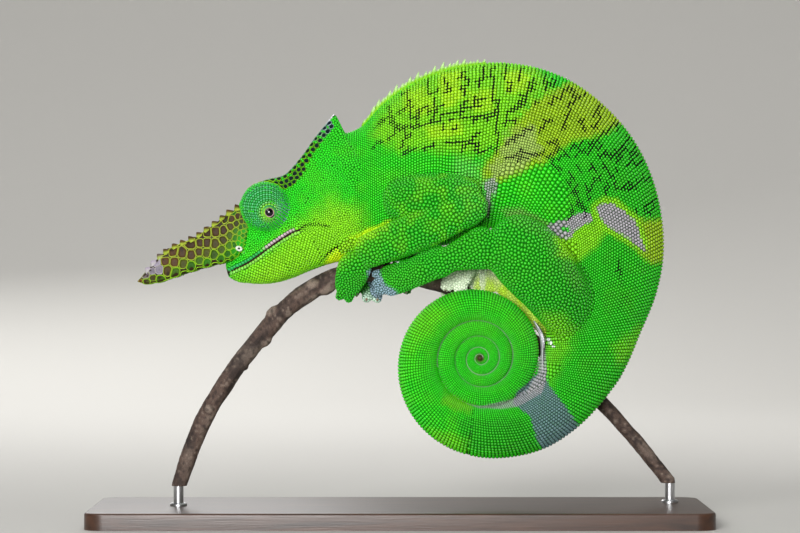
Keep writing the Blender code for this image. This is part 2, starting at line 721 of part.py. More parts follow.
def make_head():
    whole = loft("head", [head_ring(u) for u in HEAD_STATIONS], "skin", (True, False))
    behind = prism("behind_nape", [(NAPE_X, 60), (NAPE_X + 40, 60), (NAPE_X + 40, 150), (NAPE_X, 150)], 60)
    combine(whole, [behind], "DIFFERENCE")
    sockets = []
    for side in SIDES.values():
        reach = TURRET_RADIUS + GAP
        centre = (TURRET_CENTRE[0], side * TURRET_OUT, TURRET_CENTRE[1])
        sockets.append(ball("socket", centre, (reach, TURRET_HALF_WIDTH + GAP, reach), 18, 9))
        nose = (NOSTRIL[0], side * 4.6, NOSTRIL[1])
        sockets.append(cone("nostril", nose, (nose[0] - 0.4, side * 12, nose[2]), NOSTRIL_RADIUS, NOSTRIL_RADIUS, 8))
    for socket in sockets:
        combine(whole, [socket], "DIFFERENCE")
    mouth = [from_head(u, v) for u, v in MOUTH]
    jaw_area = mouth + [from_head(u, v) for u, v in JAW_BACK]
    casque_area = [from_head(u, v) for u, v in CASQUE_EDGE]
    made = {"head": whole}
    for name, area, beads in (("jaw", jaw_area, -0.62), ("casque", casque_area, None)):
        piece = new_object(name, whole.data.copy(), "skin")
        region = prism(name + "_area", area, 60)
        combine(piece, [region], "INTERSECT")
        combine(whole, [prism(name + "_room", widened(area), 62)], "DIFFERENCE")
        if beads:
            combine(piece, [lip_bead("lip", beads, side) for side in SIDES.values()], "UNION")
        made[name] = piece
    combine(whole, [lip_bead("lip", 0.75, side) for side in SIDES.values()], "UNION")
    cutter = as_cutter(loft("head_cutter", [head_ring(u, GAP) for u in HEAD_STATIONS], None, (True, False)))
    return made, cutter


def widened(outline, by=GAP):
    """The outline, moved out all round."""
    outline = np.array(outline, float)
    before, after = outline - np.roll(outline, 1, axis=0), np.roll(outline, -1, axis=0) - outline
    before /= np.linalg.norm(before, axis=1)[:, None]
    after /= np.linalg.norm(after, axis=1)[:, None]
    area = np.sum(outline[:, 0] * np.roll(outline[:, 1], -1) - np.roll(outline[:, 0], -1) * outline[:, 1])
    turn = math.copysign(1.0, area)
    one = np.stack([before[:, 1], -before[:, 0]], axis=1) * turn
    two = np.stack([after[:, 1], -after[:, 0]], axis=1) * turn
    middle = one + two
    middle /= np.sum(middle * one, axis=1)[:, None]
    return outline + middle * by


def make_eyes():
    """Each eye and its turret of skin, and the cutters that keep their gap."""
    made, keep_out = {}, []
    for word, side in SIDES.items():
        centre = (TURRET_CENTRE[0], side * TURRET_OUT, TURRET_CENTRE[1])
        turret = ball("turret_" + word, centre, (TURRET_RADIUS, TURRET_HALF_WIDTH, TURRET_RADIUS), 18, 9, "lid")
        x, z = TURRET_CENTRE[0] + LID_OFFSET[0], TURRET_CENTRE[1] + LID_OFFSET[1]
        share = 1 - (LID_OFFSET[0] ** 2 + LID_OFFSET[1] ** 2) / TURRET_RADIUS**2
        surface = TURRET_OUT + TURRET_HALF_WIDTH * math.sqrt(share)
        gaze = (x, side * surface, z)
        inside = (x - 0.25 * LID_OFFSET[0], side * (surface - EYE_DEPTH), z - 0.25 * LID_OFFSET[1])
        outside = tuple(2 * np.array(gaze) - np.array(inside))
        rim_foot = tuple(np.array(gaze) + (np.array(inside) - gaze) * 0.3)
        rim_tip = tuple(np.array(gaze) + (np.array(outside) - gaze) * 0.1)
        combine(turret, [cone("rim", rim_foot, rim_tip, LID_RADIUS + 1.3, LID_RADIUS + LID_RIM, 20)], "UNION")
        combine(turret, [cone("hole", inside, outside, LID_RADIUS, LID_RADIUS, 20)], "DIFFERENCE")
        made["turret_" + word] = turret
        reach = TURRET_RADIUS + GAP
        room = ball("turret_cutter", centre, (reach, TURRET_HALF_WIDTH + GAP, reach), 18, 9)
        keep_out.append(as_cutter(room))
        sunk = tuple(np.array(gaze) + (np.array(inside) - gaze) * (EYE_SUNK / EYE_DEPTH))
        foot = tuple(np.array(inside) + (np.array(gaze) - inside) * (GAP / EYE_DEPTH))
        radius = LID_RADIUS - GAP
        eye = cone("eye_" + word, foot, sunk, radius, radius * 0.96, 16, "eye")
        dome = ball("dome", sunk, (radius * 0.93, 0.5, radius * 0.93), 16, 8)
        made["eye_" + word] = combine(eye, [dome], "UNION")
    return made, keep_out


# The horns


def horn_rows(count):
    """Sections of the horn, evenly along it."""
    rows = np.asarray(HORN, float)
    middles = np.stack([(rows[:, 0] + rows[:, 2]) / 2, rows[:, 4], (rows[:, 1] + rows[:, 3]) / 2], axis=1)
    return resample(np.concatenate([middles, rows], axis=1), np.linspace(0, 1, count))[:, 3:]


def horn_ring(row, side, count=12):
    top, low = np.array([row[0], 0, row[1]]), np.array([row[2], 0, row[3]])
    turn = 2 * np.pi * np.arange(count) / count
    across = np.sign(np.sin(turn)) * np.abs(np.sin(turn)) ** 0.75 * row[5]
    ring = (top + low) / 2 + np.outer(np.cos(turn), (top - low) / 2)
    ring[:, 1] += side * row[4] + across
    return ring


def plate(name, centre, along, up, out, length, height):
    """A low six-sided plate with sloping sides, set flat on the blade."""
    corners = [(math.cos(a), math.sin(a)) for a in np.radians(np.arange(0, 360, 60))]
    rings = []
    for lift, share in ((-PLATE_SUNK, 1.0), (PLATE_PROUD, PLATE_SLOPE)):
        rings.append([centre + out * lift + along * c * length * share + up * s * height * share for c, s in corners])
    return loft(name, rings)


def horn_plates(side):
    rows = horn_rows(PLATE_COLUMNS + 3)
    made = []
    for column in range(PLATE_COLUMNS):
        row, ahead = rows[column + 2], rows[column + 1] - rows[min(column + 3, len(rows) - 1)]
        top, low = np.array([row[0], 0, row[1]]), np.array([row[2], 0, row[3]])
        along = np.array([ahead[0] + ahead[2], 0, ahead[1] + ahead[3]])
        length = np.linalg.norm(along) / 4
        along /= np.linalg.norm(along)
        height = np.linalg.norm(top - low)
        up = (top - low) / height
        for level in range(column % 2, PLATE_ROWS * 2 - 1, 2):
            share = (level + 1.0) / (PLATE_ROWS * 2)
            bulge = abs(math.sin(math.acos(2 * share - 1))) ** 0.75
            size = height / (PLATE_ROWS * 2)
            for face in (LEFT, RIGHT):
                centre = low + (top - low) * share
                centre[1] = side * row[4] + face * row[5] * bulge
                out = np.array([0.0, float(face), 0.0]) + up * (2 * share - 1) * 0.35
                out /= np.linalg.norm(out)
                rise = np.cross(out, along)
                rise /= np.linalg.norm(rise)
                made.append(plate("plate", centre, along, rise, out, length * 1.2, size * 0.92))
    return made


def horn_teeth(side):
    """The corners of the edge plates, which make the upper edge a saw."""
    made = []
    rows = horn_rows(TOOTH_COUNT + 3)
    for i in range(TOOTH_COUNT):
        row, ahead = rows[i + 2], rows[i + 1] - rows[i + 3]
        top, low = np.array([row[0], 0, row[1]]), np.array([row[2], 0, row[3]])
        up = (top - low) / np.linalg.norm(top - low)
        along = np.array([ahead[0], 0, ahead[1]])
        along /= -np.linalg.norm(along)
        top[1] = side * row[4]
        size = 1.0 - 0.3 * i / TOOTH_COUNT
        foot = top - up * 1.1 + along * -0.4
        tip = top + up * TOOTH_PROUD * size + along * 0.9
        made.append(cone("tooth", foot, tip, 1.35 * size * row[5] / 1.6, 0.3, 5))
    return made


def make_horns(neighbours):
    made = {}
    for word, side in SIDES.items():
        rings = [horn_ring(row, side, 10) for row in horn_rows(12)]
        horn = loft("horn_" + word, rings, "horn", (False, True))
        combine(horn, horn_plates(side) + horn_teeth(side), "UNION")
        made["horn_" + word] = fit(horn, neighbours)
    return made


# Limbs and feet


def limb(name, rows, side, count=12, rings=5, along=None):
    """A limb, and the cutter that keeps its gap."""
    placed = rounded(turned(rows, side), rings)
    made = loft(name, limb_rings(placed, count, 0.0, along), "skin", (True, True))
    cutter = as_cutter(loft(name + "_cutter", limb_rings(placed, count, GAP, along), None, (True, True)))
    return made, [cutter]


def foot_bundle(name, rows, side, toes, along=(1.0, 0.0, 0.0)):
    """A bundle of fused toes, whose blunt tips carry claws that turn in towards the branch."""
    bundle, cutter = limb(name, rows, side, 10, 4, along)
    placed = turned(rows, side)
    last, before = np.array(placed[-1]), np.array(placed[-2])
    ahead = (last - before)[:3]
    ahead /= np.linalg.norm(ahead)
    across, inwards = frame_of(ahead, along)
    inwards = inwards * math.copysign(1.0, inwards[1] * -last[1])
    pieces = []
    for i in range(toes):
        place = (2 * i - toes + 1) / toes
        root = last[:3] + across * place * last[3] * 0.9 - ahead * 1.2
        radius = last[3] / toes
        tip = root + ahead * (TOE_LENGTH + 1.2 - 0.5 * abs(place))
        toe = rounded([(*root, radius, last[4] * 0.9), (*tip, radius * 0.92, last[4] * 0.75)], 2, (False, True))
        pieces.append(loft("toe", limb_rings(toe, 6, 0.0, along), None, (False, True)))
        cutter.append(as_cutter(loft("toe_cutter", limb_rings(toe, 6, GAP, along), None, (False, True))))
        nail = tip - ahead * 0.4 + inwards * last[4] * 0.2
        point = nail + ahead * CLAW_LENGTH * 0.7 + inwards * CLAW_LENGTH * 0.8
        pieces.append(cone("claw", nail - ahead * 0.3, point, CLAW_RADIUS, 0.1, 5))
    return combine(bundle, pieces, "UNION"), cutter


def make_limbs(neighbours):
    """Both front limbs, both hind limbs, and their feet. Each piece is cut back from those before it."""
    made, keep_out = {}, list(neighbours)

    def add(piece):
        body, cutter = piece
        made[body.name] = fit(body, keep_out)
        keep_out.extend(cutter)

    for word, side in SIDES.items():
        add(limb("upper_arm_" + word, UPPER_ARM, side))
    add(limb("forearm_left", FOREARM, LEFT))
    add(limb("forearm_right", turned(FAR_FOREARM, RIGHT), RIGHT))
    add(limb("thigh_left", THIGH, LEFT, count=14))
    add(limb("shin_left", SHIN, LEFT))
    add(limb("thigh_right", turned(FAR_THIGH, RIGHT), RIGHT, count=14))
    add(limb("shin_right", turned(FAR_SHIN, RIGHT), RIGHT))
    add(foot_bundle("hand_left_outer", HAND_OUTER, LEFT, 2))
    add(foot_bundle("hand_left_inner", HAND_INNER, LEFT, 3))
    add(foot_bundle("foot_left_outer", FOOT_OUTER, LEFT, 3, along=None))
    add(foot_bundle("foot_left_inner", FOOT_INNER, LEFT, 2))
    add(foot_bundle("hand_right_outer", turned(FAR_HAND_OUTER, RIGHT), RIGHT, 2))
    add(foot_bundle("hand_right_inner", turned(FAR_HAND_INNER, RIGHT), RIGHT, 3))
    add(foot_bundle("foot_right_outer", turned(FAR_FOOT_OUTER, RIGHT), RIGHT, 3))
    add(foot_bundle("foot_right_inner", turned(FAR_FOOT_INNER, RIGHT), RIGHT, 2))
    return made


# The branch and the stand


def branch_knot(share, degrees, size):
    """A bud scar or a stub on the branch."""
    row = resample(BRANCH, (share, share + 0.01))
    middle, ahead = row[0, :3], row[1, :3] - row[0, :3]
    ahead /= np.linalg.norm(ahead)
    out = np.cross(ahead, (0.0, 1.0, 0.0))
    out = Matrix.Rotation(math.radians(degrees), 3, Vector(ahead)) @ Vector(out)
    out = np.array(out)
    radius = row[0, 3]
    foot, tip = middle + out * radius * 0.3, middle + out * (radius + size * 0.7) - ahead * 0.5 * size
    return cone("knot", foot, tip, size * 1.1, size * 0.7, 8)


def make_branch():
    """The branch, cut level at both ends, in lengths that each bend little, and the cutters that keep its gap."""
    made, keep_out = {}, []
    shares = [0.0, *BRANCH_CUTS, 1.0]
    length = float(np.linalg.norm(np.diff(np.array(BRANCH)[:, :3], axis=0), axis=1).sum())
    for i, (start, end) in enumerate(zip(shares, shares[1:], strict=False)):
        name = ("perch_foot", "perch_rise", "perch_top", "perch_fall")[i]
        first = start + (GAP / 2 / length if i else 0)
        last = end - (GAP / 2 / length if end < 1 else 0)
        places = np.linspace(first, last, round((end - start) * 30) + 2)
        rows = resample(BRANCH, places)
        ahead = resample(BRANCH, places + 0.005)[:, :3] - resample(BRANCH, places - 0.005)[:, :3]
        rows = [(*row, row[3]) for row in rows]
        rings = limb_rings(rows, 10, 0.0, None, ahead)
        for ring, row, step, cut in ((rings[0], rows[0], rows[1], start == 0), (rings[-1], rows[-1], rows[-2], end == 1)):
            if cut:
                way = np.subtract(step, row)[:3]
                for point in ring:
                    point += way * (CUT_HEIGHT - point[2]) / way[2]
        piece = loft(name, rings, "branch")
        wide = limb_rings(rows, 10, GAP, None, ahead)
        keep_out.append(as_cutter(loft(name + "_cutter", wide)))
        stubs = [branch_knot(*knot) for knot in BRANCH_KNOTS if start < knot[0] < end]
        made[name] = combine(piece, stubs, "UNION") if stubs else piece
    return made, keep_out


def make_stand():
    half_length, half_width = BASE_LENGTH / 2, BASE_WIDTH / 2
    outline = []
    for x, y, turn in ((1, 1, 0), (-1, 1, 90), (-1, -1, 180), (1, -1, 270)):
        for step in range(5):
            angle = math.radians(turn + 22.5 * step)
            outline.append((
                x * (half_length - BASE_CORNER) + BASE_CORNER * math.cos(angle),
                y * (half_width - BASE_CORNER) + BASE_CORNER * math.sin(angle),
            ))
    shrink = (half_length - BASE_EDGE) / half_length, (half_width - BASE_EDGE) / half_width
    rings = [[(x, y, 0.0) for x, y in outline], [(x, y, BASE_HEIGHT - BASE_EDGE) for x, y in outline],
             [(x * shrink[0], y * shrink[1], BASE_HEIGHT) for x, y in outline]]
    made = {"stand_base": loft("stand_base", rings, "base")}
    for word, end in (("front", BRANCH[0]), ("back", BRANCH[-1])):
        foot, tip = (end[0], end[1], BASE_HEIGHT + GAP), (end[0], end[1], CUT_HEIGHT - GAP)
        made["stand_rod_" + word] = cone("stand_rod_" + word, foot, tip, ROD_RADIUS, ROD_RADIUS, 20, "rod")
    return made


def make_materials():
    made = {}
    for name, (colour, roughness, metallic) in COLOURS.items():
        material = bpy.data.materials.new(name)
        material.use_nodes = True
        finish = material.node_tree.nodes["Principled BSDF"].inputs
        finish["Base Color"].default_value = (*colour, 1)
        finish["Roughness"].default_value = roughness
        finish["Metallic"].default_value = metallic
        made[name] = material
    return made


def main():
    nodes = make_stand()
    branch, round_branch = make_branch()
    trunk, round_trunk = make_trunk()
    tail, round_tail = make_tail()
    head, round_head = make_head()
    eyes, round_eyes = make_eyes()
    horns = make_horns([round_head, *round_eyes])
    for group in (branch, trunk, tail, head, eyes, horns):
        nodes.update(group)
    nodes.update(make_limbs([round_trunk, round_tail, round_head, *round_branch]))
    for made in nodes.values():
        smooth_shaded(made)


for old in list(bpy.data.objects):
    bpy.data.objects.remove(old)
collection = bpy.data.collections.new("two_horned_chameleon")
bpy.context.scene.collection.children.link(collection)
cutters = bpy.data.collections.new("cutters")
bpy.context.scene.collection.children.link(cutters)
materials = make_materials()
main()
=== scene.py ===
"""A two-horned chameleon, life size, on a cut length of arched branch held by a plain display stand.

The shapes are worked out in millimetres and become metres when a mesh is made. X runs along the animal with
the snout towards -X, Z is up, and the near side, the animal's left, is towards -Y. Places in the side view
are written as (x, z).
"""

import itertools
import math
import types

import bmesh
import bpy
import numpy as np
from bpy.props import FloatProperty, FloatVectorProperty, IntProperty, PointerProperty
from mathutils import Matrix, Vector
from mathutils.bvhtree import BVHTree
from mathutils.kdtree import KDTree


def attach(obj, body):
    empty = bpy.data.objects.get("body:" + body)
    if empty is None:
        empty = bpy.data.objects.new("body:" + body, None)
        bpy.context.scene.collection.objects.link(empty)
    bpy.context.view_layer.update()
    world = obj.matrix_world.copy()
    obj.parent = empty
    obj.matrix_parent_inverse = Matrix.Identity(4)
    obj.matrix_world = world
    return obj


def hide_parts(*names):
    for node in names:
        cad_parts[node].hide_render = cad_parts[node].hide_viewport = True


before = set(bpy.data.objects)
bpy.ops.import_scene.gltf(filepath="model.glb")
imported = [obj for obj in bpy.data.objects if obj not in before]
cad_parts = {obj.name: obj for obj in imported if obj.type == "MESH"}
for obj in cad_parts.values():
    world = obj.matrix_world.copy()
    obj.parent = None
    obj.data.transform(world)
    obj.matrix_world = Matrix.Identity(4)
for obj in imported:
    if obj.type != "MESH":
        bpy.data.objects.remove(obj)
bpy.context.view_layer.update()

bl_info = {
    "name": "Two-horned chameleon",
    "version": (1, 0, 0),
    "blender": (4, 5, 0),
    "location": "View3D > Sidebar > Chameleon",
    "description": "Makes a life-size chameleon with its coat of scales, its branch and its display stand",
    "category": "Add Mesh",
}

MM = 0.001
GAP = 0.3
LEFT, RIGHT = -1, 1
SIDES = {"left": LEFT, "right": RIGHT}

# The branch: x, y, z along its middle, and its radius.
BRANCH = [
    (-66.2, -3.0, 11.0, 2.3), (-60.2, -2.5, 27.5, 2.45), (-51.6, -2.0, 42.5, 2.6), (-42.6, -1.5, 54.5, 2.75),
    (-32.1, -1.0, 65.7, 2.9), (-24.6, -0.5, 70.8, 3.0), (-16.5, 0.0, 73.9, 3.0), (-8.4, 0.6, 75.0, 2.95),
    (0.0, 2.2, 74.4, 2.9), (10.5, 6.0, 72.0, 2.8), (22.5, 10.8, 66.8, 2.7), (36.0, 12.8, 56.9, 2.5),
    (49.5, 13.2, 46.1, 2.3), (61.8, 12.4, 34.7, 2.15), (73.5, 10.6, 21.5, 2.05), (81.8, 9.4, 11.0, 2.0),
]
# Bud scars and stubs: share of the branch's length, degrees round it, and size.
KNOTS = [(0.353, 60, 1.5), (0.37, 160, 1.9), (0.285, 15, 1.7), (0.248, 165, 1.4), (0.12, 80, 1.0), (0.8, 100, 0.9),
         (0.2, 200, 0.8), (0.3, 120, 1.0), (0.66, 60, 0.8), (0.9, 120, 0.7)]
CUT_HEIGHT, ROD_RADIUS = 11.0, 1.5
BASE_LENGTH, BASE_WIDTH, BASE_HEIGHT, BASE_CORNER, BASE_EDGE = 184.0, 64.0, 5.0, 6.0, 0.8
# A rod and its collar: radius and height.
ROD_OUTLINE = [(ROD_RADIUS * 1.7, BASE_HEIGHT), (ROD_RADIUS * 1.7, BASE_HEIGHT + 0.6),
               (ROD_RADIUS * 1.5, BASE_HEIGHT + 0.9), (ROD_RADIUS, BASE_HEIGHT + 0.95), (ROD_RADIUS, CUT_HEIGHT)]

# The trunk, from behind the head to the vent: x, z on the back, x, z on the belly, and half the width.
TRUNK = [
    (-16.5, 116.6, -16.5, 77.9, 8.6), (-11.4, 119.0, -12.0, 78.8, 8.9), (-5.4, 125.5, -4.5, 80.9, 9.8),
    (3.0, 131.5, 3.6, 83.6, 11.0), (13.5, 135.8, 12.0, 82.4, 12.0), (22.5, 137.5, 19.2, 84.6, 12.6),
    (31.5, 137.9, 25.5, 87.4, 13.0), (42.3, 136.1, 30.0, 87.8, 13.0), (52.8, 131.6, 33.6, 86.9, 12.8),
    (62.4, 124.1, 36.6, 85.0, 12.3), (70.2, 114.8, 39.0, 81.5, 11.8), (75.6, 104.0, 41.1, 76.4, 11.2),
    (78.6, 92.0, 42.6, 71.0, 10.6), (79.2, 80.0, 43.5, 65.0, 10.0), (77.0, 68.3, 43.8, 59.0, 9.4),
    (72.3, 56.6, 43.2, 53.6, 8.8),
]
BACK_KEEL, TAIL_KEEL, BELLY_ROUND = 0.66, 0.586, 0.5

# The coil of the tail, in turns from straight below its centre.
COIL_CENTRE = (24.0, 49.1)
COIL_START, COIL_END, COIL_STEP = -0.24, 4.9, 1 / 24
COIL_RADII = [(-0.29, 48.5), (-0.24, 44.0), (-0.2, 39.6), (-0.15, 36.0), (-0.1, 33.6), (-0.05, 31.4), (0.0, 30.0),
              (0.125, 27.2), (0.25, 24.6), (0.5, 20.7), (0.75, 17.7), (1.0, 14.6)]
# The tip of the tail, from side to side: y, and its radius.
TAIL_TIP = [(-1.15, 0.3), (-1.0, 0.62), (-0.5, 0.85), (0.5, 0.85), (1.0, 0.62), (1.15, 0.3)]
COIL_SHRINK, COIL_CLOSES, TAIL_HALF_WIDTH, TAIL_NARROWS, TIP_TAPER = 0.59, 0.36, 6.2, 0.585, 0.8
BODY_END = len(TRUNK) + (COIL_END - COIL_START) / COIL_STEP  # stations of the trunk, and then steps of the coil
FUSED_END = len(TRUNK) + (0.1 - COIL_START) / COIL_STEP

# The head's own frame: u forwards along the mouth, v upwards, from the corner of the mouth.
HEAD_ORIGIN, HEAD_SLOPE = (-30.0, 87.5), math.radians(26.6)
HEAD_TOP = [(25.3, -1.2), (24.4, 1.2), (22.6, 3.6), (18.0, 9.4), (13.2, 14.8), (10.5, 17.0), (7.5, 18.3),
            (2.4, 18.1), (-3.3, 17.0), (-9.6, 19.3), (-16.9, 23.2), (-24.9, 26.8)]
HEAD_BOTTOM = [(25.3, -3.6), (24.0, -5.4), (20.7, -7.8), (15.4, -10.6), (9.4, -12.1), (2.8, -12.6),
               (-3.5, -13.4), (-9.0, -14.8), (-18.0, -16.5), (-24.9, -17.0)]
HEAD_ROOF = [(25.3, 0.6), (22.6, 2.3), (18.0, 3.6), (13.2, 4.7), (7.5, 5.4), (-3.3, 5.6), (-9.6, 4.9),
             (-16.9, 3.3), (-24.9, 0.9)]
HEAD_CHEEK = [(25.3, 0.9), (24.0, 2.8), (21.0, 4.5), (18.0, 5.6), (13.2, 6.9), (7.5, 7.9), (2.4, 8.7),
              (-3.3, 9.5), (-9.6, 9.9), (-16.9, 9.4), (-24.9, 8.8)]
HEAD_FRONT, HEAD_BACK = 25.3, -24.9
HEAD_RUN = 51  # what the map of the head's scales covers, from the front
MOUTH_ENDS, MOUTH_BACK = (-2.8, 28.0), -28.0  # the ends in u, and the x behind which there is no mouth
MOUTH = [(28.0, -1.8), (24.7, -1.8), (17.7, -1.9), (10.5, -0.8), (5.1, -0.1), (1.0, 0.0), (-2.8, -1.1)]
TURRET_CENTRE = (-40.2, 94.4)
TURRET_RADIUS, TURRET_HALF_WIDTH, TURRET_OUT = 7.7, 5.7, 6.7
LID_OFFSET, LID_RADIUS, LID_EDGE = (1.5, -1.8), 1.42, 0.3
NOSTRIL, NOSTRIL_RADIUS = (-47.8, 81.6), 0.62

# The horns are blades: x, z on the upper edge, x, z on the lower edge, distance from the middle, half thickness.
HORN = [
    (-44.0, 94.7, -46.5, 80.4, 4.3, 1.9), (-48.4, 94.1, -50.4, 78.1, 4.4, 1.85), (-52.4, 91.7, -53.6, 77.2, 4.6, 1.75),
    (-57.0, 88.3, -57.2, 76.2, 4.8, 1.65), (-61.5, 85.1, -61.2, 75.1, 5.0, 1.55), (-66.2, 83.3, -65.4, 73.7, 5.1, 1.45),
    (-70.6, 80.7, -69.4, 72.3, 5.1, 1.3), (-74.2, 77.3, -73.2, 71.3, 5.0, 1.1), (-77.0, 73.9, -76.4, 71.1, 4.9, 0.8),
    (-78.4, 72.5, -78.2, 71.7, 4.85, 0.35),
]
HORN_SUNK = 0.3

# The spines of the crest: first and last station, how many, and their heights.
SPINE_FROM, SPINE_TO, SPINE_COUNT = 1.12, 5.3, 19
SPINE_HEIGHTS, SMALL_SPINE_HEIGHTS, SPINE_LEAN = (2.5, 1.5, 2.2), (0.9, 1.2, 0.8), 0.25

# Limbs: x, y, z along the middle, half the depth in the side view, and half the width. The y values are for
# the left limb.
UPPER_ARM = [(-5.0, -6.5, 96.5, 5.6, 3.6), (1.0, -10.3, 96.7, 6.4, 4.4), (9.0, -12.6, 97.7, 6.0, 4.3),
             (18.0, -13.6, 98.3, 5.2, 3.9), (24.0, -13.6, 97.3, 4.4, 3.4)]
FOREARM = [(25.8, -14.6, 95.5, 2.6, 2.2), (23.0, -15.0, 94.6, 4.9, 3.3), (16.2, -15.0, 92.3, 6.0, 3.8),
           (7.5, -14.0, 88.1, 6.3, 3.9), (-1.5, -12.6, 84.2, 5.9, 3.6), (-9.0, -11.0, 81.3, 5.4, 3.3),
           (-13.0, -9.8, 79.3, 5.3, 3.1)]
FAR_FOREARM = [(25.8, 14.6, 95.5, 2.6, 2.2), (23.0, 15.0, 94.6, 4.9, 3.3), (17.0, 15.0, 92.1, 5.8, 3.7),
               (11.0, 14.2, 88.5, 5.6, 3.6), (6.6, 13.0, 84.9, 4.8, 3.3), (4.2, 11.9, 82.3, 4.4, 3.1)]
THIGH = [(54.5, -2.5, 56.9, 7.4, 3.6), (50.5, -7.6, 62.7, 9.0, 5.0), (44.5, -12.2, 71.4, 10.6, 6.0),
         (37.5, -14.2, 79.4, 11.4, 5.8), (31.5, -15.0, 84.4, 9.8, 5.0), (27.0, -15.0, 87.2, 6.5, 3.8)]
SHIN = [(29.5, -14.6, 82.9, 6.0, 3.6), (24.0, -14.8, 81.9, 6.6, 3.8), (19.0, -14.5, 80.3, 5.2, 3.5),
        (15.0, -14.1, 78.9, 4.2, 3.3), (11.5, -13.4, 77.1, 4.4, 3.1), (8.3, -12.4, 75.7, 4.0, 2.9)]
FAR_THIGH = [(55.0, 2.5, 55.4, 7.6, 3.6), (50.5, 7.6, 60.4, 9.2, 5.0), (43.5, 11.4, 67.9, 9.8, 5.4),
             (36.0, 12.8, 74.5, 9.4, 5.0), (29.5, 13.2, 79.3, 6.6, 4.0)]
FAR_SHIN = [(31.5, 12.6, 76.5, 5.4, 3.4), (27.0, 12.4, 74.3, 6.0, 3.4), (22.5, 11.6, 72.6, 5.6, 3.3),
            (18.5, 10.6, 71.6, 5.0, 3.1), (15.2, 10.4, 71.2, 4.2, 2.9)]
HAND_OUTER = [(-11.6, -10.0, 80.1, 5.0, 3.1), (-13.5, -8.2, 76.3, 5.3, 3.0), (-14.9, -6.5, 72.5, 4.8, 2.6),
              (-16.0, -5.2, 69.3, 3.8, 2.2), (-16.5, -4.5, 67.7, 3.2, 1.9)]
HAND_INNER = [(-11.8, -7.4, 81.3, 3.2, 2.0), (-12.6, -2.4, 81.5, 3.8, 2.3), (-13.2, 2.6, 79.9, 4.1, 2.3),
              (-13.8, 5.4, 76.3, 4.1, 2.2), (-14.4, 5.8, 72.3, 3.8, 2.1), (-14.8, 4.8, 69.3, 3.2, 1.8)]
FOOT_OUTER = [(15.0, -13.9, 80.0, 4.9, 3.1), (10.6, -12.9, 77.9, 5.1, 3.0), (5.2, -11.0, 75.2, 4.7, 2.9),
              (0.2, -8.6, 73.3, 4.8, 2.8), (-4.0, -6.4, 72.2, 4.9, 2.5), (-6.4, -5.5, 71.8, 4.4, 2.2)]
FOOT_INNER = [(2.0, -8.2, 78.5, 2.8, 1.9), (-1.6, -4.0, 80.3, 3.2, 2.1), (-4.4, 1.0, 80.3, 3.6, 2.2),
              (-6.6, 5.2, 78.1, 3.8, 2.2), (-7.8, 6.6, 74.1, 3.8, 2.1), (-8.3, 5.2, 69.7, 3.8, 2.0),
              (-8.4, 2.4, 67.2, 3.6, 1.8)]
FAR_HAND_OUTER = [(3.6, 11.4, 81.5, 4.4, 2.9), (2.4, 10.6, 77.5, 4.6, 2.8), (1.4, 8.4, 73.3, 4.2, 2.5),
                  (0.6, 6.4, 70.1, 3.6, 2.0)]
FAR_HAND_INNER = [(3.4, 9.6, 82.1, 3.0, 1.9), (2.4, 5.2, 81.9, 3.5, 2.1), (1.6, 0.4, 80.3, 3.6, 2.1),
                  (0.9, -2.6, 76.9, 3.5, 2.0), (0.3, -2.6, 73.1, 3.1, 1.8)]
FAR_FOOT_OUTER = [(20.0, 11.4, 73.7, 3.8, 2.6), (17.6, 12.6, 71.5, 4.0, 2.5), (15.8, 12.9, 68.3, 3.8, 2.3),
                  (14.8, 12.0, 65.7, 3.2, 2.0)]
FAR_FOOT_INNER = [(21.0, 10.2, 75.1, 3.6, 2.2), (18.8, 6.6, 74.7, 4.5, 2.2), (16.9, 3.4, 72.9, 4.9, 2.1),
                  (16.2, 2.4, 70.3, 4.7, 1.9)]
TOE_LENGTH, CLAW_RADIUS = 2.0, 0.5

# Every limb and bundle of toes: its rows, its side, how many toes end it, and the way its depth runs.
LIMBS = {
    "upper_arm_left": (UPPER_ARM, LEFT, 0, None),
    "upper_arm_right": (UPPER_ARM, RIGHT, 0, None),
    "forearm_left": (FOREARM, LEFT, 0, None),
    "forearm_right": (FAR_FOREARM, LEFT, 0, None),
    "thigh_left": (THIGH, LEFT, 0, None),
    "thigh_right": (FAR_THIGH, LEFT, 0, None),
    "shin_left": (SHIN, LEFT, 0, None),
    "shin_right": (FAR_SHIN, LEFT, 0, None),
    "hand_left_outer": (HAND_OUTER, LEFT, 2, (1, 0, 0)),
    "hand_left_inner": (HAND_INNER, LEFT, 3, (1, 0, 0)),
    "foot_left_outer": (FOOT_OUTER, LEFT, 3, None),
    "foot_left_inner": (FOOT_INNER, LEFT, 2, (1, 0, 0)),
    "hand_right_outer": (FAR_HAND_OUTER, LEFT, 2, (1, 0, 0)),
    "hand_right_inner": (FAR_HAND_INNER, LEFT, 3, (1, 0, 0)),
    "foot_right_outer": (FAR_FOOT_OUTER, LEFT, 3, (1, 0, 0)),
    "foot_right_inner": (FAR_FOOT_INNER, LEFT, 2, (1, 0, 0)),
}
LIMB_REACH = 1.25  # how far off its line a limb's skin counts as its own, in radii
FLESH_NODES = [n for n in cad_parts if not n.startswith(("perch_", "stand_", "horn_", "eye_"))]

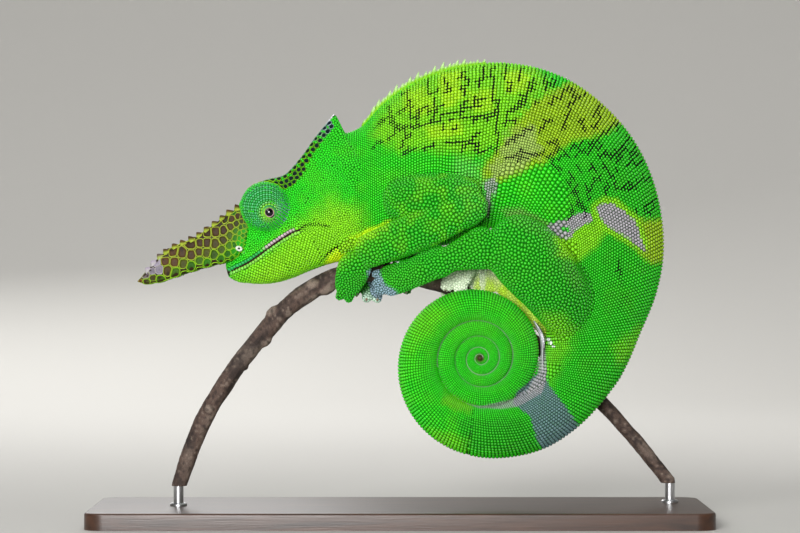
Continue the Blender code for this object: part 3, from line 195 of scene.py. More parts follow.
# The black lines of the crackle on the flanks, each from x, z to x, z. They keep to the furrows between scales.
CRACKS = [
    (-3.3, 125.3, -2.4, 119.0), (0.6, 128.9, 3.3, 121.1), (3.0, 124.1, 5.7, 118.1), (8.4, 132.5, 10.2, 123.5),
    (12.9, 133.1, 15.0, 128.6), (15.0, 128.6, 12.9, 128.6), (19.2, 134.9, 20.4, 130.1), (18.0, 130.1, 18.9, 124.1),
    (22.5, 127.1, 21.9, 123.8), (24.9, 136.1, 23.4, 131.9), (27.9, 136.7, 28.8, 119.0), (32.1, 136.7, 31.5, 132.5),
    (31.8, 131.0, 32.4, 128.9), (36.9, 135.5, 35.4, 131.6), (39.9, 133.1, 38.4, 128.9), (43.5, 134.3, 42.3, 131.0),
    (45.6, 132.5, 43.8, 128.9), (50.4, 130.7, 48.0, 126.5), (52.8, 130.1, 51.0, 127.1), (-4.5, 120.5, 0.0, 117.5),
    (0.0, 117.2, 3.6, 117.2), (3.6, 117.2, 11.1, 119.3), (11.1, 119.3, 18.6, 124.1), (18.6, 123.8, 21.9, 123.8),
    (14.1, 119.9, 24.0, 120.8), (24.0, 120.8, 29.1, 121.4), (0.0, 122.9, 3.0, 124.1), (5.4, 121.1, 8.4, 124.1),
    (-3.6, 114.5, -1.5, 118.1), (13.5, 113.6, 21.0, 113.6), (21.0, 113.6, 28.5, 112.1), (28.8, 119.0, 28.8, 110.0),
    (18.6, 113.6, 18.6, 109.7), (21.0, 113.6, 23.7, 116.3), (7.2, 111.8, 10.2, 112.1), (1.2, 110.0, 4.8, 111.5),
    (31.2, 112.7, 39.0, 117.8), (36.0, 111.5, 40.2, 109.1), (31.5, 120.5, 34.8, 125.0), (34.8, 125.0, 39.0, 128.9),
    (33.6, 122.3, 37.2, 126.5), (36.0, 127.1, 39.6, 130.1), (42.0, 119.9, 45.6, 119.6), (41.4, 116.3, 43.5, 119.6),
    (48.0, 116.9, 49.8, 121.4), (49.8, 121.4, 55.8, 129.2), (52.5, 121.1, 55.2, 117.5), (46.8, 126.8, 43.5, 125.0),
    (57.0, 121.1, 60.6, 125.0), (59.4, 115.1, 65.4, 119.9), (43.5, 113.0, 48.0, 111.2), (43.5, 109.1, 46.8, 113.0),
    (39.0, 108.5, 43.8, 111.5), (50.4, 110.9, 59.1, 114.8), (51.6, 109.1, 52.8, 112.4), (55.5, 109.7, 57.6, 112.4),
    (60.6, 110.0, 70.2, 114.8), (63.6, 111.5, 65.7, 108.8), (64.5, 108.8, 72.6, 113.0), (67.5, 106.4, 73.8, 109.4),
    (63.6, 100.1, 67.5, 101.9), (67.5, 101.9, 76.8, 104.0), (67.5, 99.5, 70.2, 100.1), (60.0, 105.5, 63.9, 100.1),
    (70.8, 94.7, 76.8, 97.1), (72.0, 92.6, 76.8, 94.1), (49.5, 98.0, 55.2, 91.7), (43.5, 95.3, 44.7, 90.8),
    (34.5, 101.0, 35.7, 98.6), (35.7, 98.6, 38.1, 100.1), (43.5, 105.5, 46.2, 102.8), (41.4, 102.5, 44.7, 104.9),
    (57.0, 118.1, 60.0, 121.1), (64.8, 79.1, 65.4, 71.3), (66.0, 68.3, 68.4, 66.2), (-1.5, 118.1, 1.2, 114.5),
    (10.8, 123.5, 9.6, 119.3), (3.0, 116.0, 0.0, 112.1), (-7.5, 117.5, -3.6, 119.9), (-8.4, 111.5, -4.8, 113.9),
    (31.5, 108.5, 34.2, 105.5), (35.4, 108.5, 37.8, 105.5),
]
# Where short black strokes stand close together, square to the back: an outline, and the share of furrows.
STROKES = [([(43.0, 113.0), (60.0, 116.0), (66.0, 104.0), (58.0, 92.0), (47.0, 96.0), (40.0, 104.0)], 0.12),
           ([(66.0, 118.0), (76.0, 104.0), (78.0, 88.0), (70.0, 92.0), (66.0, 104.0)], 0.035),
           ([(-4.0, 124.0), (20.0, 134.0), (44.0, 133.0), (40.0, 120.0), (10.0, 116.0)], 0.05)]

# The folds by the vent: x, y, z along the middle, half the depth in the side view, and half the width.
VENT_FOLDS = [
    [(40.2, 0, 60.2, 0.15, 3.4), (41.3, 0, 58.3, 0.5, 5.0), (42.4, 0, 56.3, 0.6, 5.5), (42.9, 0, 54.2, 0.45, 5.4),
     (43.0, 0, 52.0, 0.15, 5.2)],
    [(41.2, 0, 58.0, 0.15, 3.4), (42.2, 0, 55.6, 0.35, 5.2), (42.6, 0, 52.8, 0.35, 5.0), (42.6, 0, 49.0, 0.25, 4.8),
     (42.4, 0, 45.0, 0.12, 4.6)],
]

# Black slits and creases in the skin, seen from the left: a line of (x, z), half its width, and its depth. The black is
# painted shade inside each slit.
SLITS = [
    ([(-2.7, 102.6), (6.0, 104.2), (14.0, 104.4), (21.6, 103.0)], 0.25, 0.35),
    ([(-6.0, 76.6), (0.0, 79.0), (7.5, 81.4), (12.0, 82.7), (18.0, 85.7), (24.0, 90.0)], 0.55, 1.1),
    ([(-21.6, 80.3), (-19.5, 82.0), (-17.1, 83.0)], 0.4, 0.5),
    ([(-31.0, 87.6), (-27.0, 89.2), (-21.5, 88.9)], 0.2, 0.3),
]

# Creases between the granules of the head, seen from the left.
CREASES = [
    [(-29.6, 88.0), (-27.0, 88.9), (-24.0, 88.9), (-21.0, 88.4)],
    [(-24.0, 77.2), (-21.6, 80.3), (-19.5, 82.0), (-17.1, 83.0)],
    [(-48.0, 71.6), (-43.0, 71.2), (-38.0, 71.8), (-33.0, 73.6)],
]

# Markings, in the order in which they are laid: the palette's colour, how soft and how ragged the edge is, how
# strong it is, and its outline. They are alike on both sides.
MARKINGS = [
    ("lime", 2.6, 1.6, 0.75, [(-8.4, 115.1), (-4.5, 125.0), (6.0, 134.5), (21.0, 139.0), (39.0, 137.5), (45.6, 130.5),
                             (36.6, 121.1), (31.5, 112.1), (21.0, 109.1), (9.0, 111.5), (0.0, 110.9)]),
    ("yellow", 1.4, 1.2, 0.55, [(12.0, 134.5), (18.6, 135.0), (18.6, 126.5), (13.5, 122.9), (11.4, 129.5)]),
    ("yellow", 1.4, 1.2, 0.45, [(1.2, 128.9), (7.5, 130.1), (11.4, 124.1), (6.0, 121.1), (1.2, 124.1)]),
    ("yellow", 1.2, 1.0, 0.5, [(7.5, 118.1), (18.0, 119.9), (18.6, 115.7), (9.0, 113.9)]),
    ("yellow", 1.2, 1.0, 0.45, [(20.4, 128.9), (28.5, 129.5), (27.6, 122.9), (21.0, 122.9)]),
    ("yellow", 1.2, 1.0, 0.55, [(30.9, 134.9), (39.0, 134.3), (37.8, 128.9), (31.8, 128.0)]),
    ("mustard", 1.5, 1.3, 0.85, [(43.5, 128.0), (52.5, 131.5), (61.5, 127.5), (67.0, 119.9), (60.0, 115.7),
                                (51.6, 113.9), (44.4, 108.5), (37.8, 104.9), (30.0, 101.9), (24.6, 101.9),
                                (23.4, 105.5), (27.6, 109.7), (31.5, 115.1), (34.5, 119.9), (39.0, 125.0)]),
    ("mustard_pale", 1.6, 3.0, 0.42, [(31.5, 116.0), (39.0, 118.0), (41.4, 111.5), (37.2, 105.0), (31.0, 103.6),
                                     (26.5, 104.5), (30.0, 109.1)]),
    ("flank_pale", 3.0, 1.8, 0.35, [(16.5, 108.5), (24.0, 107.0), (25.6, 92.0), (19.5, 90.5), (15.6, 99.5)]),
    ("groin", 1.6, 1.0, 0.6, [(30.0, 93.5), (36.0, 94.1), (43.5, 89.9), (48.0, 81.5), (54.5, 71.0), (51.6, 69.0),
                             (46.0, 77.9), (41.0, 85.1), (33.6, 88.7)]),
    ("lime", 1.6, 1.0, 0.9, [(46.0, 85.1), (52.5, 88.5), (59.6, 91.0), (61.0, 86.9), (57.6, 81.7), (52.5, 78.1),
                            (47.0, 80.0)]),
    ("mustard", 1.4, 1.0, 0.8, [(70.0, 90.5), (79.6, 90.3), (80.2, 78.1), (74.4, 77.5), (70.5, 81.5)]),
    ("lime", 2.4, 1.6, 0.45, [(63.6, 53.0), (72.0, 58.5), (71.8, 50.9), (65.4, 47.0)]),
    ("lime", 0.9, 0.5, 0.9, [(56.4, 94.8), (60.6, 97.4), (64.4, 96.8), (68.0, 94.0), (71.4, 91.0), (72.8, 86.9),
                            (74.0, 82.0), (71.4, 80.3), (67.4, 83.2), (63.5, 85.4), (59.4, 87.8), (56.8, 91.0)]),
    ("lilac", 0.3, 0.5, 1.0, [(57.9, 94.1), (60.6, 95.6), (63.6, 95.0), (66.6, 92.9), (69.6, 90.5), (71.1, 86.9),
                             (72.3, 83.0), (73.5, 81.0), (71.4, 81.8), (68.4, 84.5), (64.5, 86.9), (60.9, 89.0),
                             (58.8, 91.4)]),
    ("lilac", 0.3, 0.6, 1.0, [(42.3, 87.5), (46.5, 89.9), (49.5, 90.5), (52.5, 92.3), (56.4, 92.6), (57.3, 89.9),
                             (54.9, 89.3), (51.9, 87.2), (51.0, 85.1), (48.0, 84.5), (45.0, 86.0)]),
    ("green", 0.3, 0.3, 0.9, [(47.7, 87.9), (50.1, 88.3), (50.4, 86.8), (48.0, 86.5)]),
    ("lilac", 0.5, 0.6, 0.85, [(24.9, 101.9), (27.6, 103.1), (29.1, 100.1), (27.6, 97.1), (27.3, 94.1),
                              (26.1, 91.1), (24.9, 93.5), (25.2, 97.7)]),
    ("lime", 3.0, 1.2, 0.3, [(1.5, 61.1), (9.0, 66.5), (14.4, 62.9), (9.6, 56.0), (3.6, 51.5)]),
    ("lime", 1.8, 1.2, 0.4, [(8.4, 28.1), (21.0, 25.6), (20.4, 20.9), (12.0, 21.6)]),
    ("mustard", 1.3, 1.4, 0.3, [(13.0, 38.6), (22.0, 34.9), (21.0, 32.6), (15.6, 34.1), (12.0, 36.1)]),
    ("deep_green", 1.8, 1.0, 0.6, [(16.5, 31.1), (39.0, 31.1), (40.8, 22.7), (30.0, 20.4), (18.6, 22.7)]),
    ("lime", 3.0, 1.2, 0.5, [(42.6, 62.5), (48.0, 62.0), (51.5, 58.0), (50.5, 52.0), (47.0, 47.0), (44.4, 42.0),
                            (43.2, 47.0), (43.2, 54.5)]),
    ("blue_grey", 0.35, 0.25, 1.0, [(34.8, 38.9), (39.0, 42.5), (42.9, 46.1), (44.4, 41.0), (48.6, 35.9),
                                   (54.0, 28.1), (46.0, 16.0), (40.8, 24.5), (38.7, 32.0), (33.6, 35.6)]),
    ("lilac", 0.35, 0.3, 0.9, [(40.8, 60.0), (42.2, 58.6), (43.3, 54.0), (43.5, 48.5), (43.9, 43.0), (42.0, 38.5),
                              (40.0, 39.5), (38.0, 37.5), (38.8, 40.4), (41.3, 44.5), (41.8, 50.0), (41.2, 56.0)]),
    ("horn_brown", 0.4, 0.1, 0.8, [(22.6, 49.1), (23.0, 50.1), (24.0, 50.5), (25.0, 50.1), (25.4, 49.1), (25.0, 48.1),
                                  (24.0, 47.7), (23.0, 48.1)]),
    ("white", 0.2, 0.1, 0.8, [(43.9, 55.5), (44.8, 54.9), (46.2, 52.6), (45.5, 52.4), (44.0, 54.6)]),
    ("lilac", 0.3, 0.2, 0.7, [(20.0, 35.4), (24.0, 34.8), (33.6, 36.9), (40.0, 41.0), (41.5, 38.5), (35.0, 34.6),
                             (30.0, 34.0), (23.4, 34.1)]),
    ("lime", 4.6, 1.4, 0.85, [(-32.2, 87.6), (-21.0, 96.0), (-12.0, 93.0), (-8.5, 86.0), (-18.0, 78.0),
                             (-30.0, 72.0), (-41.4, 69.0), (-46.0, 72.0), (-40.0, 79.5)]),
    ("lime", 1.0, 0.5, 0.5, [(-51.0, 75.0), (-43.4, 79.0), (-36.0, 81.0), (-34.0, 73.0), (-44.4, 69.1),
                            (-50.2, 71.3)]),
    ("fold_yellow", 1.0, 0.8, 0.95, [(-22.5, 77.0), (-21.5, 79.0), (-16.4, 83.8), (-9.0, 88.0), (-3.0, 90.2),
                                    (-3.6, 87.6), (-14.4, 81.8), (-19.5, 75.5)]),
    ("sole_blue", 0.5, 0.4, 0.9, [(-10.0, 75.5), (-6.2, 76.0), (-4.6, 71.5), (-1.2, 69.4), (0.0, 67.0), (-4.0, 64.5),
                                  (-9.0, 68.0)]),
]

# The palette, as sRGB, and where each colour is used.
PALETTE = {
    "green": ("#12C400", "The vivid green of the body"),
    "deep_green": ("#058A00", "The darker green of the hind end and the limbs"),
    # Light green is a painted highlight on the crowns of the scales, and also the pale colour of the inner side of the
    # limbs.
    "light_green": ("#5CE428", "The crown of a granule"),
    # The furrow colour is dark partly as the skin's own colour and partly as painted shade of the furrows.
    "furrow": ("#013A00", "The skin between the scales"),
    "black": ("#020302", "The black lines of the flanks"),
    "lime": ("#86CE00", "The yellow-green of the shoulders, the cheeks and the throat"),
    "yellow": ("#B6D800", "The yellow blotches of the shoulders"),
    "mustard": ("#9EB200", "The slanting band of the flank"),
    "mustard_pale": ("#A8AC80", "The faded lower end of the band"),
    "fold_yellow": ("#CCF000", "The fold of the throat"),
    "flank_pale": ("#8CC36E", "The greyish skin behind the arm"),
    "groin": ("#7E8C50", "The brownish crease of the groin"),
    "lilac": ("#98939A", "The patches of the hind flank and the inner edge of the tail"),
    "blue_grey": ("#58707A", "The band round the root of the tail"),
    "belly": ("#F2FCDC", "The pale inner side of the limbs"),
    "sole": ("#DCF0E6", "The pale inner toes"),
    "sole_blue": ("#8298B0", "The edge of the near foot's sole"),
    "white": ("#DCDCE4", "The folds by the vent"),
    "teal": ("#189850", "The eye turrets and the front of the upper lip"),
    "lip": ("#B49AA8", "The pinkish rim of the mouth"),
    "crest": ("#A8CC86", "The pale tips of the spines and the ridge of the back"),
    "casque": ("#06161C", "The blue-black plates of the casque's edge"),
    "horn_brown": ("#4A3212", "The plates along the top of the horns"),
    "horn_olive": ("#4C540E", "The plates in the middle of the horns"),
    "horn_green": ("#3C8A1A", "The plates under the horns"),
    "horn_rim": ("#A2B634", "The pale borders of the plates"),
    "horn_tip": ("#A79EAE", "The lilac-white skin near the tips"),
    "claw": ("#7C4E30", "The horn of the claws"),
    "bark": ("#4A3A32", "The grey-brown bark"),
    "bark_dark": ("#1E1613", "The hollows of the bark"),
    "bark_pale": ("#77695E", "The worn ridges of the bark"),
    "walnut": ("#3A2418", "The display base"),
    "floor": ("#C6C4BF", "The studio sweep"),
}

# The studio's soft lamps, in metres: where each stands, what it is aimed at, its size and its power.
MODEL, WALL = (0.0, 0.0, 0.075), (0.0, 1.15, 0.45)
LAMPS = [
    ("key", (-0.16, -1.0, 0.2), MODEL, 0.26, 11.6), ("fill", (-0.5, -0.85, 0.6), MODEL, 0.4, 4.0),
    ("top", (0.1, 0.25, 0.95), MODEL, 0.6, 3.0), ("back", (-0.3, 0.9, 0.5), MODEL, 0.6, 3.0),
    ("wall", (0.0, 0.4, 0.8), WALL, 0.6, 6.0),
]


def rgb(hexed):
    """The linear colour of an sRGB hex value."""
    parts = [int(hexed[i : i + 2], 16) / 255 for i in (1, 3, 5)]
    return tuple(c / 12.92 if c <= 0.04045 else ((c + 0.055) / 1.055) ** 2.4 for c in parts)


def length(name, millimetres, description):
    return FloatProperty(
        name=name, description=description, default=millimetres * MM, min=0.0, unit="LENGTH", precision=5
    )


class ChameleonSizes(bpy.types.PropertyGroup):
    """Real sizes of the skin, its scales and its spines."""

    skin_sunk: length("Skin depth", 0.38, "How far the bare skin lies under the tops of the scales")
    skin_grain: length("Skin grain", 0.5, "Size of the small faces of the fused skin")
    flank_scale: length("Flank scale", 1.12, "Spacing of the scales along the back and the flanks")
    limb_scale: length("Limb granule", 0.84, "Spacing of the round granules on the limbs")
    head_scale: length("Head granule", 0.62, "Spacing of the granules on the cheeks and the casque")
    toe_scale: length("Toe granule", 0.72, "Spacing of the granules on the hands and feet")
    lid_scale: length("Lid scale", 0.42, "Spacing of the fine rings of scales on the eye turrets")
    horn_plate: length("Horn plate", 3.1, "Spacing of the plates on the horns")
    claw_length: length("Claw length", 1.9, "Length of each claw beyond the toe")
    scale_sides: IntProperty(name="Scale sides", description="Corners of each small scale", default=8, min=5, max=12)


class ChameleonColours(bpy.types.PropertyGroup):
    """The palette, read as sRGB."""

    __annotations__ = {
        name: FloatVectorProperty(
            name=name.replace("_", " ").capitalize(), description=text, default=rgb(hexed), size=3, min=0.0, max=1.0,
            subtype="COLOR",
        )
        for name, (hexed, text) in PALETTE.items()
    }


# Curves and sections


def circle(count):
    """Angles spread evenly over one turn."""
    return 2 * np.pi * np.arange(count) / count


def unit(vectors):
    return vectors / np.maximum(np.linalg.norm(vectors, axis=-1, keepdims=True), 1e-9)


def run_of(line):
    """How far along a line each of its points lies."""
    return np.concatenate([[0], np.cumsum(np.linalg.norm(np.diff(line, axis=0), axis=1))])


def read_off(at, run, line):
    """The points of a line at these places along it."""
    return np.stack([np.interp(at, run, column) for column in line.T], axis=-1)


def smooth(knots, places, values):
    """Values at the given places of a smooth curve through the knots, each a row of numbers."""
    knots, places = np.asarray(knots, float), np.atleast_1d(np.asarray(places, float))
    values = np.asarray(values, float).reshape(len(knots), -1)
    steps = np.diff(knots)
    slopes = np.diff(values, axis=0) / steps[:, None]
    before, after = steps[:-1, None], steps[1:, None]
    inner = (slopes[:-1] * after + slopes[1:] * before) / (before + after)
    tangents = np.concatenate([slopes[:1], inner, slopes[-1:]])
    at = np.clip(np.searchsorted(knots, places, side="right") - 1, 0, len(knots) - 2)
    width = steps[at][:, None]
    t = (places - knots[at])[:, None] / width
    return (
        (1 + 2 * t) * (1 - t) ** 2 * values[at]
        + t * (1 - t) ** 2 * width * tangents[at]
        + t * t * (3 - 2 * t) * values[at + 1]
        + t * t * (t - 1) * width * tangents[at + 1]
    )


def resample(rows, places):
    """Rows read off a smooth curve through these rows, at these shares of its length."""
    rows = np.asarray(rows, float)
    run = run_of(rows[:, :3])
    return smooth(run / run[-1], places, rows)


def rounded(rows, count, ends=(True, True)):
    """The rows of a limb at an even spacing, with rows added that round off its ends."""
    rows = np.asarray(rows, float)
    run = np.linalg.norm(np.diff(rows[:, :3], axis=0), axis=1).sum()
    start, stop = (min(0.3, 0.8 * row[3] / run) if end else 0.0 for row, end in zip(rows[[0, -1]], ends, strict=True))
    stop = 1 - stop
    places, shares = list(np.linspace(start, stop, count)), [1.0] * count
    for angle in np.radians([75, 60, 45, 33, 20, 10]):
        rise = 1 - math.cos(angle)
        added = [place for place, end in zip((start * rise, 1 - (1 - stop) * rise), ends, strict=True) if end]
        places += added
        shares += [math.sin(angle)] * len(added)
    order = np.argsort(places)
    made = resample(rows, np.array(places)[order])
    made[:, 3:] *= np.array(shares)[order][:, None]
    return made


def profile(points, u):
    """Values of a side-view profile, given as (u, value)."""
    ordered = sorted(points)
    return smooth([p[0] for p in ordered], np.atleast_1d(u), [p[1] for p in ordered])[:, 0]


def mouth_at(u):
    """How high the line of the mouth runs in the head's frame."""
    return profile(MOUTH, np.clip(u, *MOUTH_ENDS))


def coil_radius(turn):
    turn = np.asarray(turn, float)
    near = smooth([r[0] for r in COIL_RADII], np.minimum(turn, 1.0), [r[1] for r in COIL_RADII])[:, 0]
    closing = 1 - COIL_CLOSES * np.clip(turn - 3, 0, 2)
    return np.where(turn <= 1, near, COIL_RADII[-1][1] * COIL_SHRINK ** np.maximum(turn - 1, 0) * closing)


def coil_turn(b):
    """The turns of the coil at these stations."""
    return COIL_START + np.maximum(b - len(TRUNK), 0) * COIL_STEP


def coil_rows(turn):
    """x, z on the back, x, z on the belly, and half the width of the tail at these turns."""
    out = np.stack([-np.sin(2 * np.pi * turn), -np.cos(2 * np.pi * turn)], axis=1)
    outer = coil_radius(turn)
    inner = coil_radius(turn + 1) + GAP
    ease = np.clip((COIL_END - turn) / TIP_TAPER, 0, 1) ** 0.6
    inner = outer - (outer - inner) * (0.25 + 0.75 * ease)
    width = np.where(turn > 0, TAIL_HALF_WIDTH * TAIL_NARROWS ** np.maximum(turn, 0), TAIL_HALF_WIDTH - 10.0 * turn)
    back, belly = COIL_CENTRE + out * outer[:, None], COIL_CENTRE + out * inner[:, None]
    return np.column_stack([back, belly, width * (0.3 + 0.7 * ease)])


def body_rows(b):
    """Sections of the whole body, from the neck along the trunk and the coil to the tip of the tail."""
    b = np.atleast_1d(np.asarray(b, float))
    table = np.concatenate([np.array(TRUNK), coil_rows(np.array([COIL_START, COIL_START + COIL_STEP]))])
    trunk = smooth(np.arange(len(table)), np.minimum(b, len(TRUNK)), table)
    return np.where((b <= len(TRUNK))[:, None], trunk, coil_rows(coil_turn(b)))


def ends_of(row):
    """The back and the belly of a section, or the top and bottom of a horn, and the way up."""
    top, low = np.array([row[0], 0, row[1]]), np.array([row[2], 0, row[3]])
    return top, low, unit(top - low)


def body_rings(b, count, grow=0.0):
    """Rings of the body, sharp on the back and round on the belly, from the back round by the right side."""
    b = np.atleast_1d(np.asarray(b, float))
    rows = body_rows(b)
    keel = np.where(b < len(TRUNK), BACK_KEEL + (TAIL_KEEL - BACK_KEEL) * np.clip((b - 13) / 3, 0, 1),
                    0.5 + (BACK_KEEL - 0.5) * np.clip(0.3 - coil_turn(b), 0, 1))[:, None]
    back = np.stack([rows[:, 0], 0 * b, rows[:, 1]], axis=1)
    belly = np.stack([rows[:, 2], 0 * b, rows[:, 3]], axis=1)
    tall = np.linalg.norm(back - belly, axis=1, keepdims=True)
    grow = np.minimum(grow, 0) * np.clip(tall * 0.12, 0, 1) + max(grow, 0)
    up = (back - belly) / tall
    # Each turn of the coil rests on the next.
    rest = np.clip(b[:, None] - len(TRUNK) + 1, 0, 1) * min(1.0, abs(float(np.min(grow))) * 10)
    back, belly = back + up * grow, belly - up * (grow * (1 - rest) + 0.34 * rest * np.clip(tall * 0.2, 0, 1))
    down = ((1 - np.cos(circle(count))) / 2)[None]
    widest = keel / (keel + BELLY_ROUND)
    full = widest**keel * (1 - widest) ** BELLY_ROUND
    half = rows[:, 4:5] + np.minimum(grow, 0) * np.clip(rows[:, 4:5] * 0.4, 0, 1) + np.maximum(grow, 0)
    ring = back[:, None] + down[..., None] * (belly - back)[:, None]
    ring[..., 1] += np.sign(np.sin(circle(count))) * half * down**keel * np.abs(1 - down) ** BELLY_ROUND / full
    return ring


def frame_of(way, along):
    """The directions of a section's depth and width, square to the way that the limb runs."""
    deep = np.cross(way, (0.0, 1.0, 0.0)) if along is None else np.array(along, float) - way * np.dot(along, way)
    deep = deep / np.linalg.norm(deep)
    return deep, np.cross(deep, way)


def limb_rings(rows, count, grow=0.0, along=None, ahead=None):
    """Oval rings square to a limb's own line. Their depth is in the side view, or runs as given by along."""
    rows = np.asarray(rows, float)
    ahead = unit(np.gradient(rows[:, :3], axis=0) if ahead is None else np.asarray(ahead, float))
    turn, rings = circle(count), []
    for row, way in zip(rows, ahead, strict=True):
        deep, wide = frame_of(way, along)
        reach, spread = max(row[3] + grow, 0.05), max(row[-1] + grow, 0.05)
        rings.append(row[:3] + np.outer(np.cos(turn) * reach, deep) + np.outer(np.sin(turn) * spread, wide))
    return np.array(rings)


def turned(rows, side):
    """The rows of a left limb, set on this side of the animal."""
    return [(x, y * -side, z, *sizes) for x, y, z, *sizes in rows]


def from_head(u, v):
    """(x, z) of points of the head's own frame."""
    ahead, up = math.cos(HEAD_SLOPE), math.sin(HEAD_SLOPE)
    return HEAD_ORIGIN[0] - u * ahead - v * up, HEAD_ORIGIN[1] - u * up + v * ahead


def to_head(x, z):
    """(u, v) of points of the side view."""
    ahead, up = math.cos(HEAD_SLOPE), math.sin(HEAD_SLOPE)
    x, z = x - HEAD_ORIGIN[0], z - HEAD_ORIGIN[1]
    return -x * ahead - z * up, -x * up + z * ahead


def head_curve(u, count, grow=0.0):
    """Half the outline of the head's section at u, from the roof to the throat, as evenly spread (y, v)."""
    top, bottom = profile(HEAD_TOP, u)[0] + grow, profile(HEAD_BOTTOM, u)[0] - grow
    roof, cheek = profile(HEAD_ROOF, u)[0] + grow, profile(HEAD_CHEEK, u)[0] + grow
    roof, cheek, tall = max(roof, 0.3), max(cheek, 0.4), top - bottom
    half = np.array([
        (0, top - 0.025 * tall), (roof * 0.55, top - 0.01 * tall), (roof, top),
        (roof + (cheek - roof) * 0.42, bottom + 0.82 * tall), (roof + (cheek - roof) * 0.88, bottom + 0.62 * tall),
        (cheek, bottom + 0.42 * tall), (cheek * 0.95, bottom + 0.26 * tall), (cheek * 0.78, bottom + 0.12 * tall),
        (cheek * 0.45, bottom + 0.03 * tall), (0, bottom),
    ])
    run = run_of(half)
    curve = smooth(run / run[-1], np.linspace(0, 1, count), half)
    curve[:, 0] = np.maximum(curve[:, 0], 0)
    curve[[0, -1], 0] = 0
    return curve


def head_ring(u, grow):
    half = head_curve(u, 28, grow)
    whole = np.concatenate([half, half[-2:0:-1] * (-1, 1)])
    x, z = from_head(u, whole[:, 1])
    return np.column_stack([x, whole[:, 0], z])


def turret_out(x, z, grow=0.0):
    """How far from the middle plane a turret stands, at these places off its centre."""
    share = 1 - (x**2 + z**2) / (TURRET_RADIUS + grow) ** 2
    return TURRET_OUT + (TURRET_HALF_WIDTH + grow) * np.sqrt(np.clip(share, 0, 1))


def gaze(side):
    """The middle of the lid opening."""
    x, z = LID_OFFSET
    return np.array([TURRET_CENTRE[0] + x, side * turret_out(x, z), TURRET_CENTRE[1] + z])


def nostril_off(places, side, shift=(0.0, 0.0)):
    """How far places are from a nostril in the side view. Those on the other side count as far off."""
    away = np.hypot(places[:, 0] - NOSTRIL[0] + shift[0], places[:, 2] - NOSTRIL[1] + shift[1])
    return away + 9 * (places[:, 1] * side < 0)


# Noise, outlines and colours


def noise(places, size, seed=0):
    """Smooth noise from -1 to 1 that changes over about this many millimetres."""
    places = np.asarray(places, float) / size + 13.7 * seed
    cell = np.floor(places)
    part = places - cell
    part = part * part * (3 - 2 * part)
    total = 0.0
    for corner in np.ndindex(2, 2, 2):
        value = np.sin((cell + corner) @ (127.1, 311.7, 74.7)) * 43758.5453
        total = total + (value - np.floor(value)) * np.prod(np.where(corner, part, 1 - part), axis=-1)
    return 2 * total - 1


def line_distance(places, line):
    """How far places (x, z) lie from a line of points."""
    nearest, line = np.full(len(places), 1e9), np.asarray(line, float)
    for a, b in zip(line, line[1:], strict=False):
        step = b - a
        t = np.clip(((places - a) @ step) / (step @ step), 0, 1)
        nearest = np.minimum(nearest, np.linalg.norm(places - a - t[:, None] * step, axis=1))
    return nearest


def depth_in(places, outline):
    """How far places (x, z) lie inside a closed outline. It is below 0 outside."""
    outline, crossed = np.asarray(outline, float), np.zeros(len(places), bool)
    for a, b in zip(outline, np.roll(outline, -1, axis=0), strict=True):
        over = (a[1] > places[:, 1]) != (b[1] > places[:, 1])
        with np.errstate(divide="ignore", invalid="ignore"):
            crossed ^= over & (places[:, 0] < a[0] + (places[:, 1] - a[1]) * (b - a)[0] / (b - a)[1])
    nearest = line_distance(places, np.concatenate([outline, outline[:1]]))
    return np.where(crossed, nearest, -nearest)


def soft(values, low, high):
    t = np.clip((values - low) / (high - low), 0, 1)
    return t * t * (3 - 2 * t)


def mix(one, two, share):
    share = np.asarray(share, float)[..., None]
    return np.asarray(one) * (1 - share) + np.asarray(two) * share


# Meshes


def ring_faces(rings, count, looped=False):
    """Quads between rings of points, and from the last ring back to the first where they are looped."""
    k, i = np.mgrid[: rings if looped else rings - 1, :count]
    j, above = (i + 1) % count, (k + 1) % rings
    return np.stack([k * count + i, k * count + j, above * count + j, above * count + i], axis=-1).reshape(-1, 4)


def closed_body(rings, pointed=(False, False)):
    """Points and faces of a body through rings, with its ends flat or rounded to a point."""
    rings = np.asarray(rings, float)
    rows, count = rings.shape[:2]
    points, faces = [rings.reshape(-1, 3)], ring_faces(rows, count).tolist()
    for end, inner, start, sharp in ((0, 1, 0, pointed[0]), (-1, -2, (rows - 1) * count, pointed[1])):
        middle = rings[end].mean(axis=0)
        reach = 0.45 * np.linalg.norm(rings[end] - middle, axis=1).min() if sharp else 0.0
        points.append((middle + unit(middle - rings[inner].mean(axis=0)) * reach)[None])
        hub = rows * count + (1 if end else 0)
        pairs = [(start + a, start + (a + 1) % count) for a in range(count)]
        faces += [(a, b, hub) if end else (b, a, hub) for a, b in pairs]
    return np.concatenate(points), faces


def bead(middles, radials, out, radius, count=12):
    """A closed bead round a loop of points."""
    cos, sin = np.cos(circle(count)) * radius, np.sin(circle(count)) * radius
    grid = [middle + np.outer(cos, radial) + np.outer(sin, out)
            for middle, radial in zip(middles, radials, strict=True)]
    return np.concatenate(grid), ring_faces(len(grid), count, True).tolist()


def triangulated(faces):
    """Triangles and quads as triangles."""
    return np.array([(f[0], f[1], f[2]) for f in faces] + [(f[0], f[2], f[3]) for f in faces if len(f) == 4])


def gathered(bodies):
    """Several bodies as one list of points and one of faces."""
    points, faces, start = [], [], 0
    for some, made in bodies:
        points.append(some)
        faces += [tuple(start + v for v in face) for face in made]
        start += len(some)
    return np.concatenate(points), faces


def new_mesh(name, points, faces):
    mesh = bpy.data.meshes.new(name)
    mesh.from_pydata((np.asarray(points) * MM).tolist(), [], faces)
    mesh.update()
    shape = bmesh.new()
    shape.from_mesh(mesh)
    bmesh.ops.recalc_face_normals(shape, faces=shape.faces)
    shape.to_mesh(mesh)
    shape.free()
    return mesh


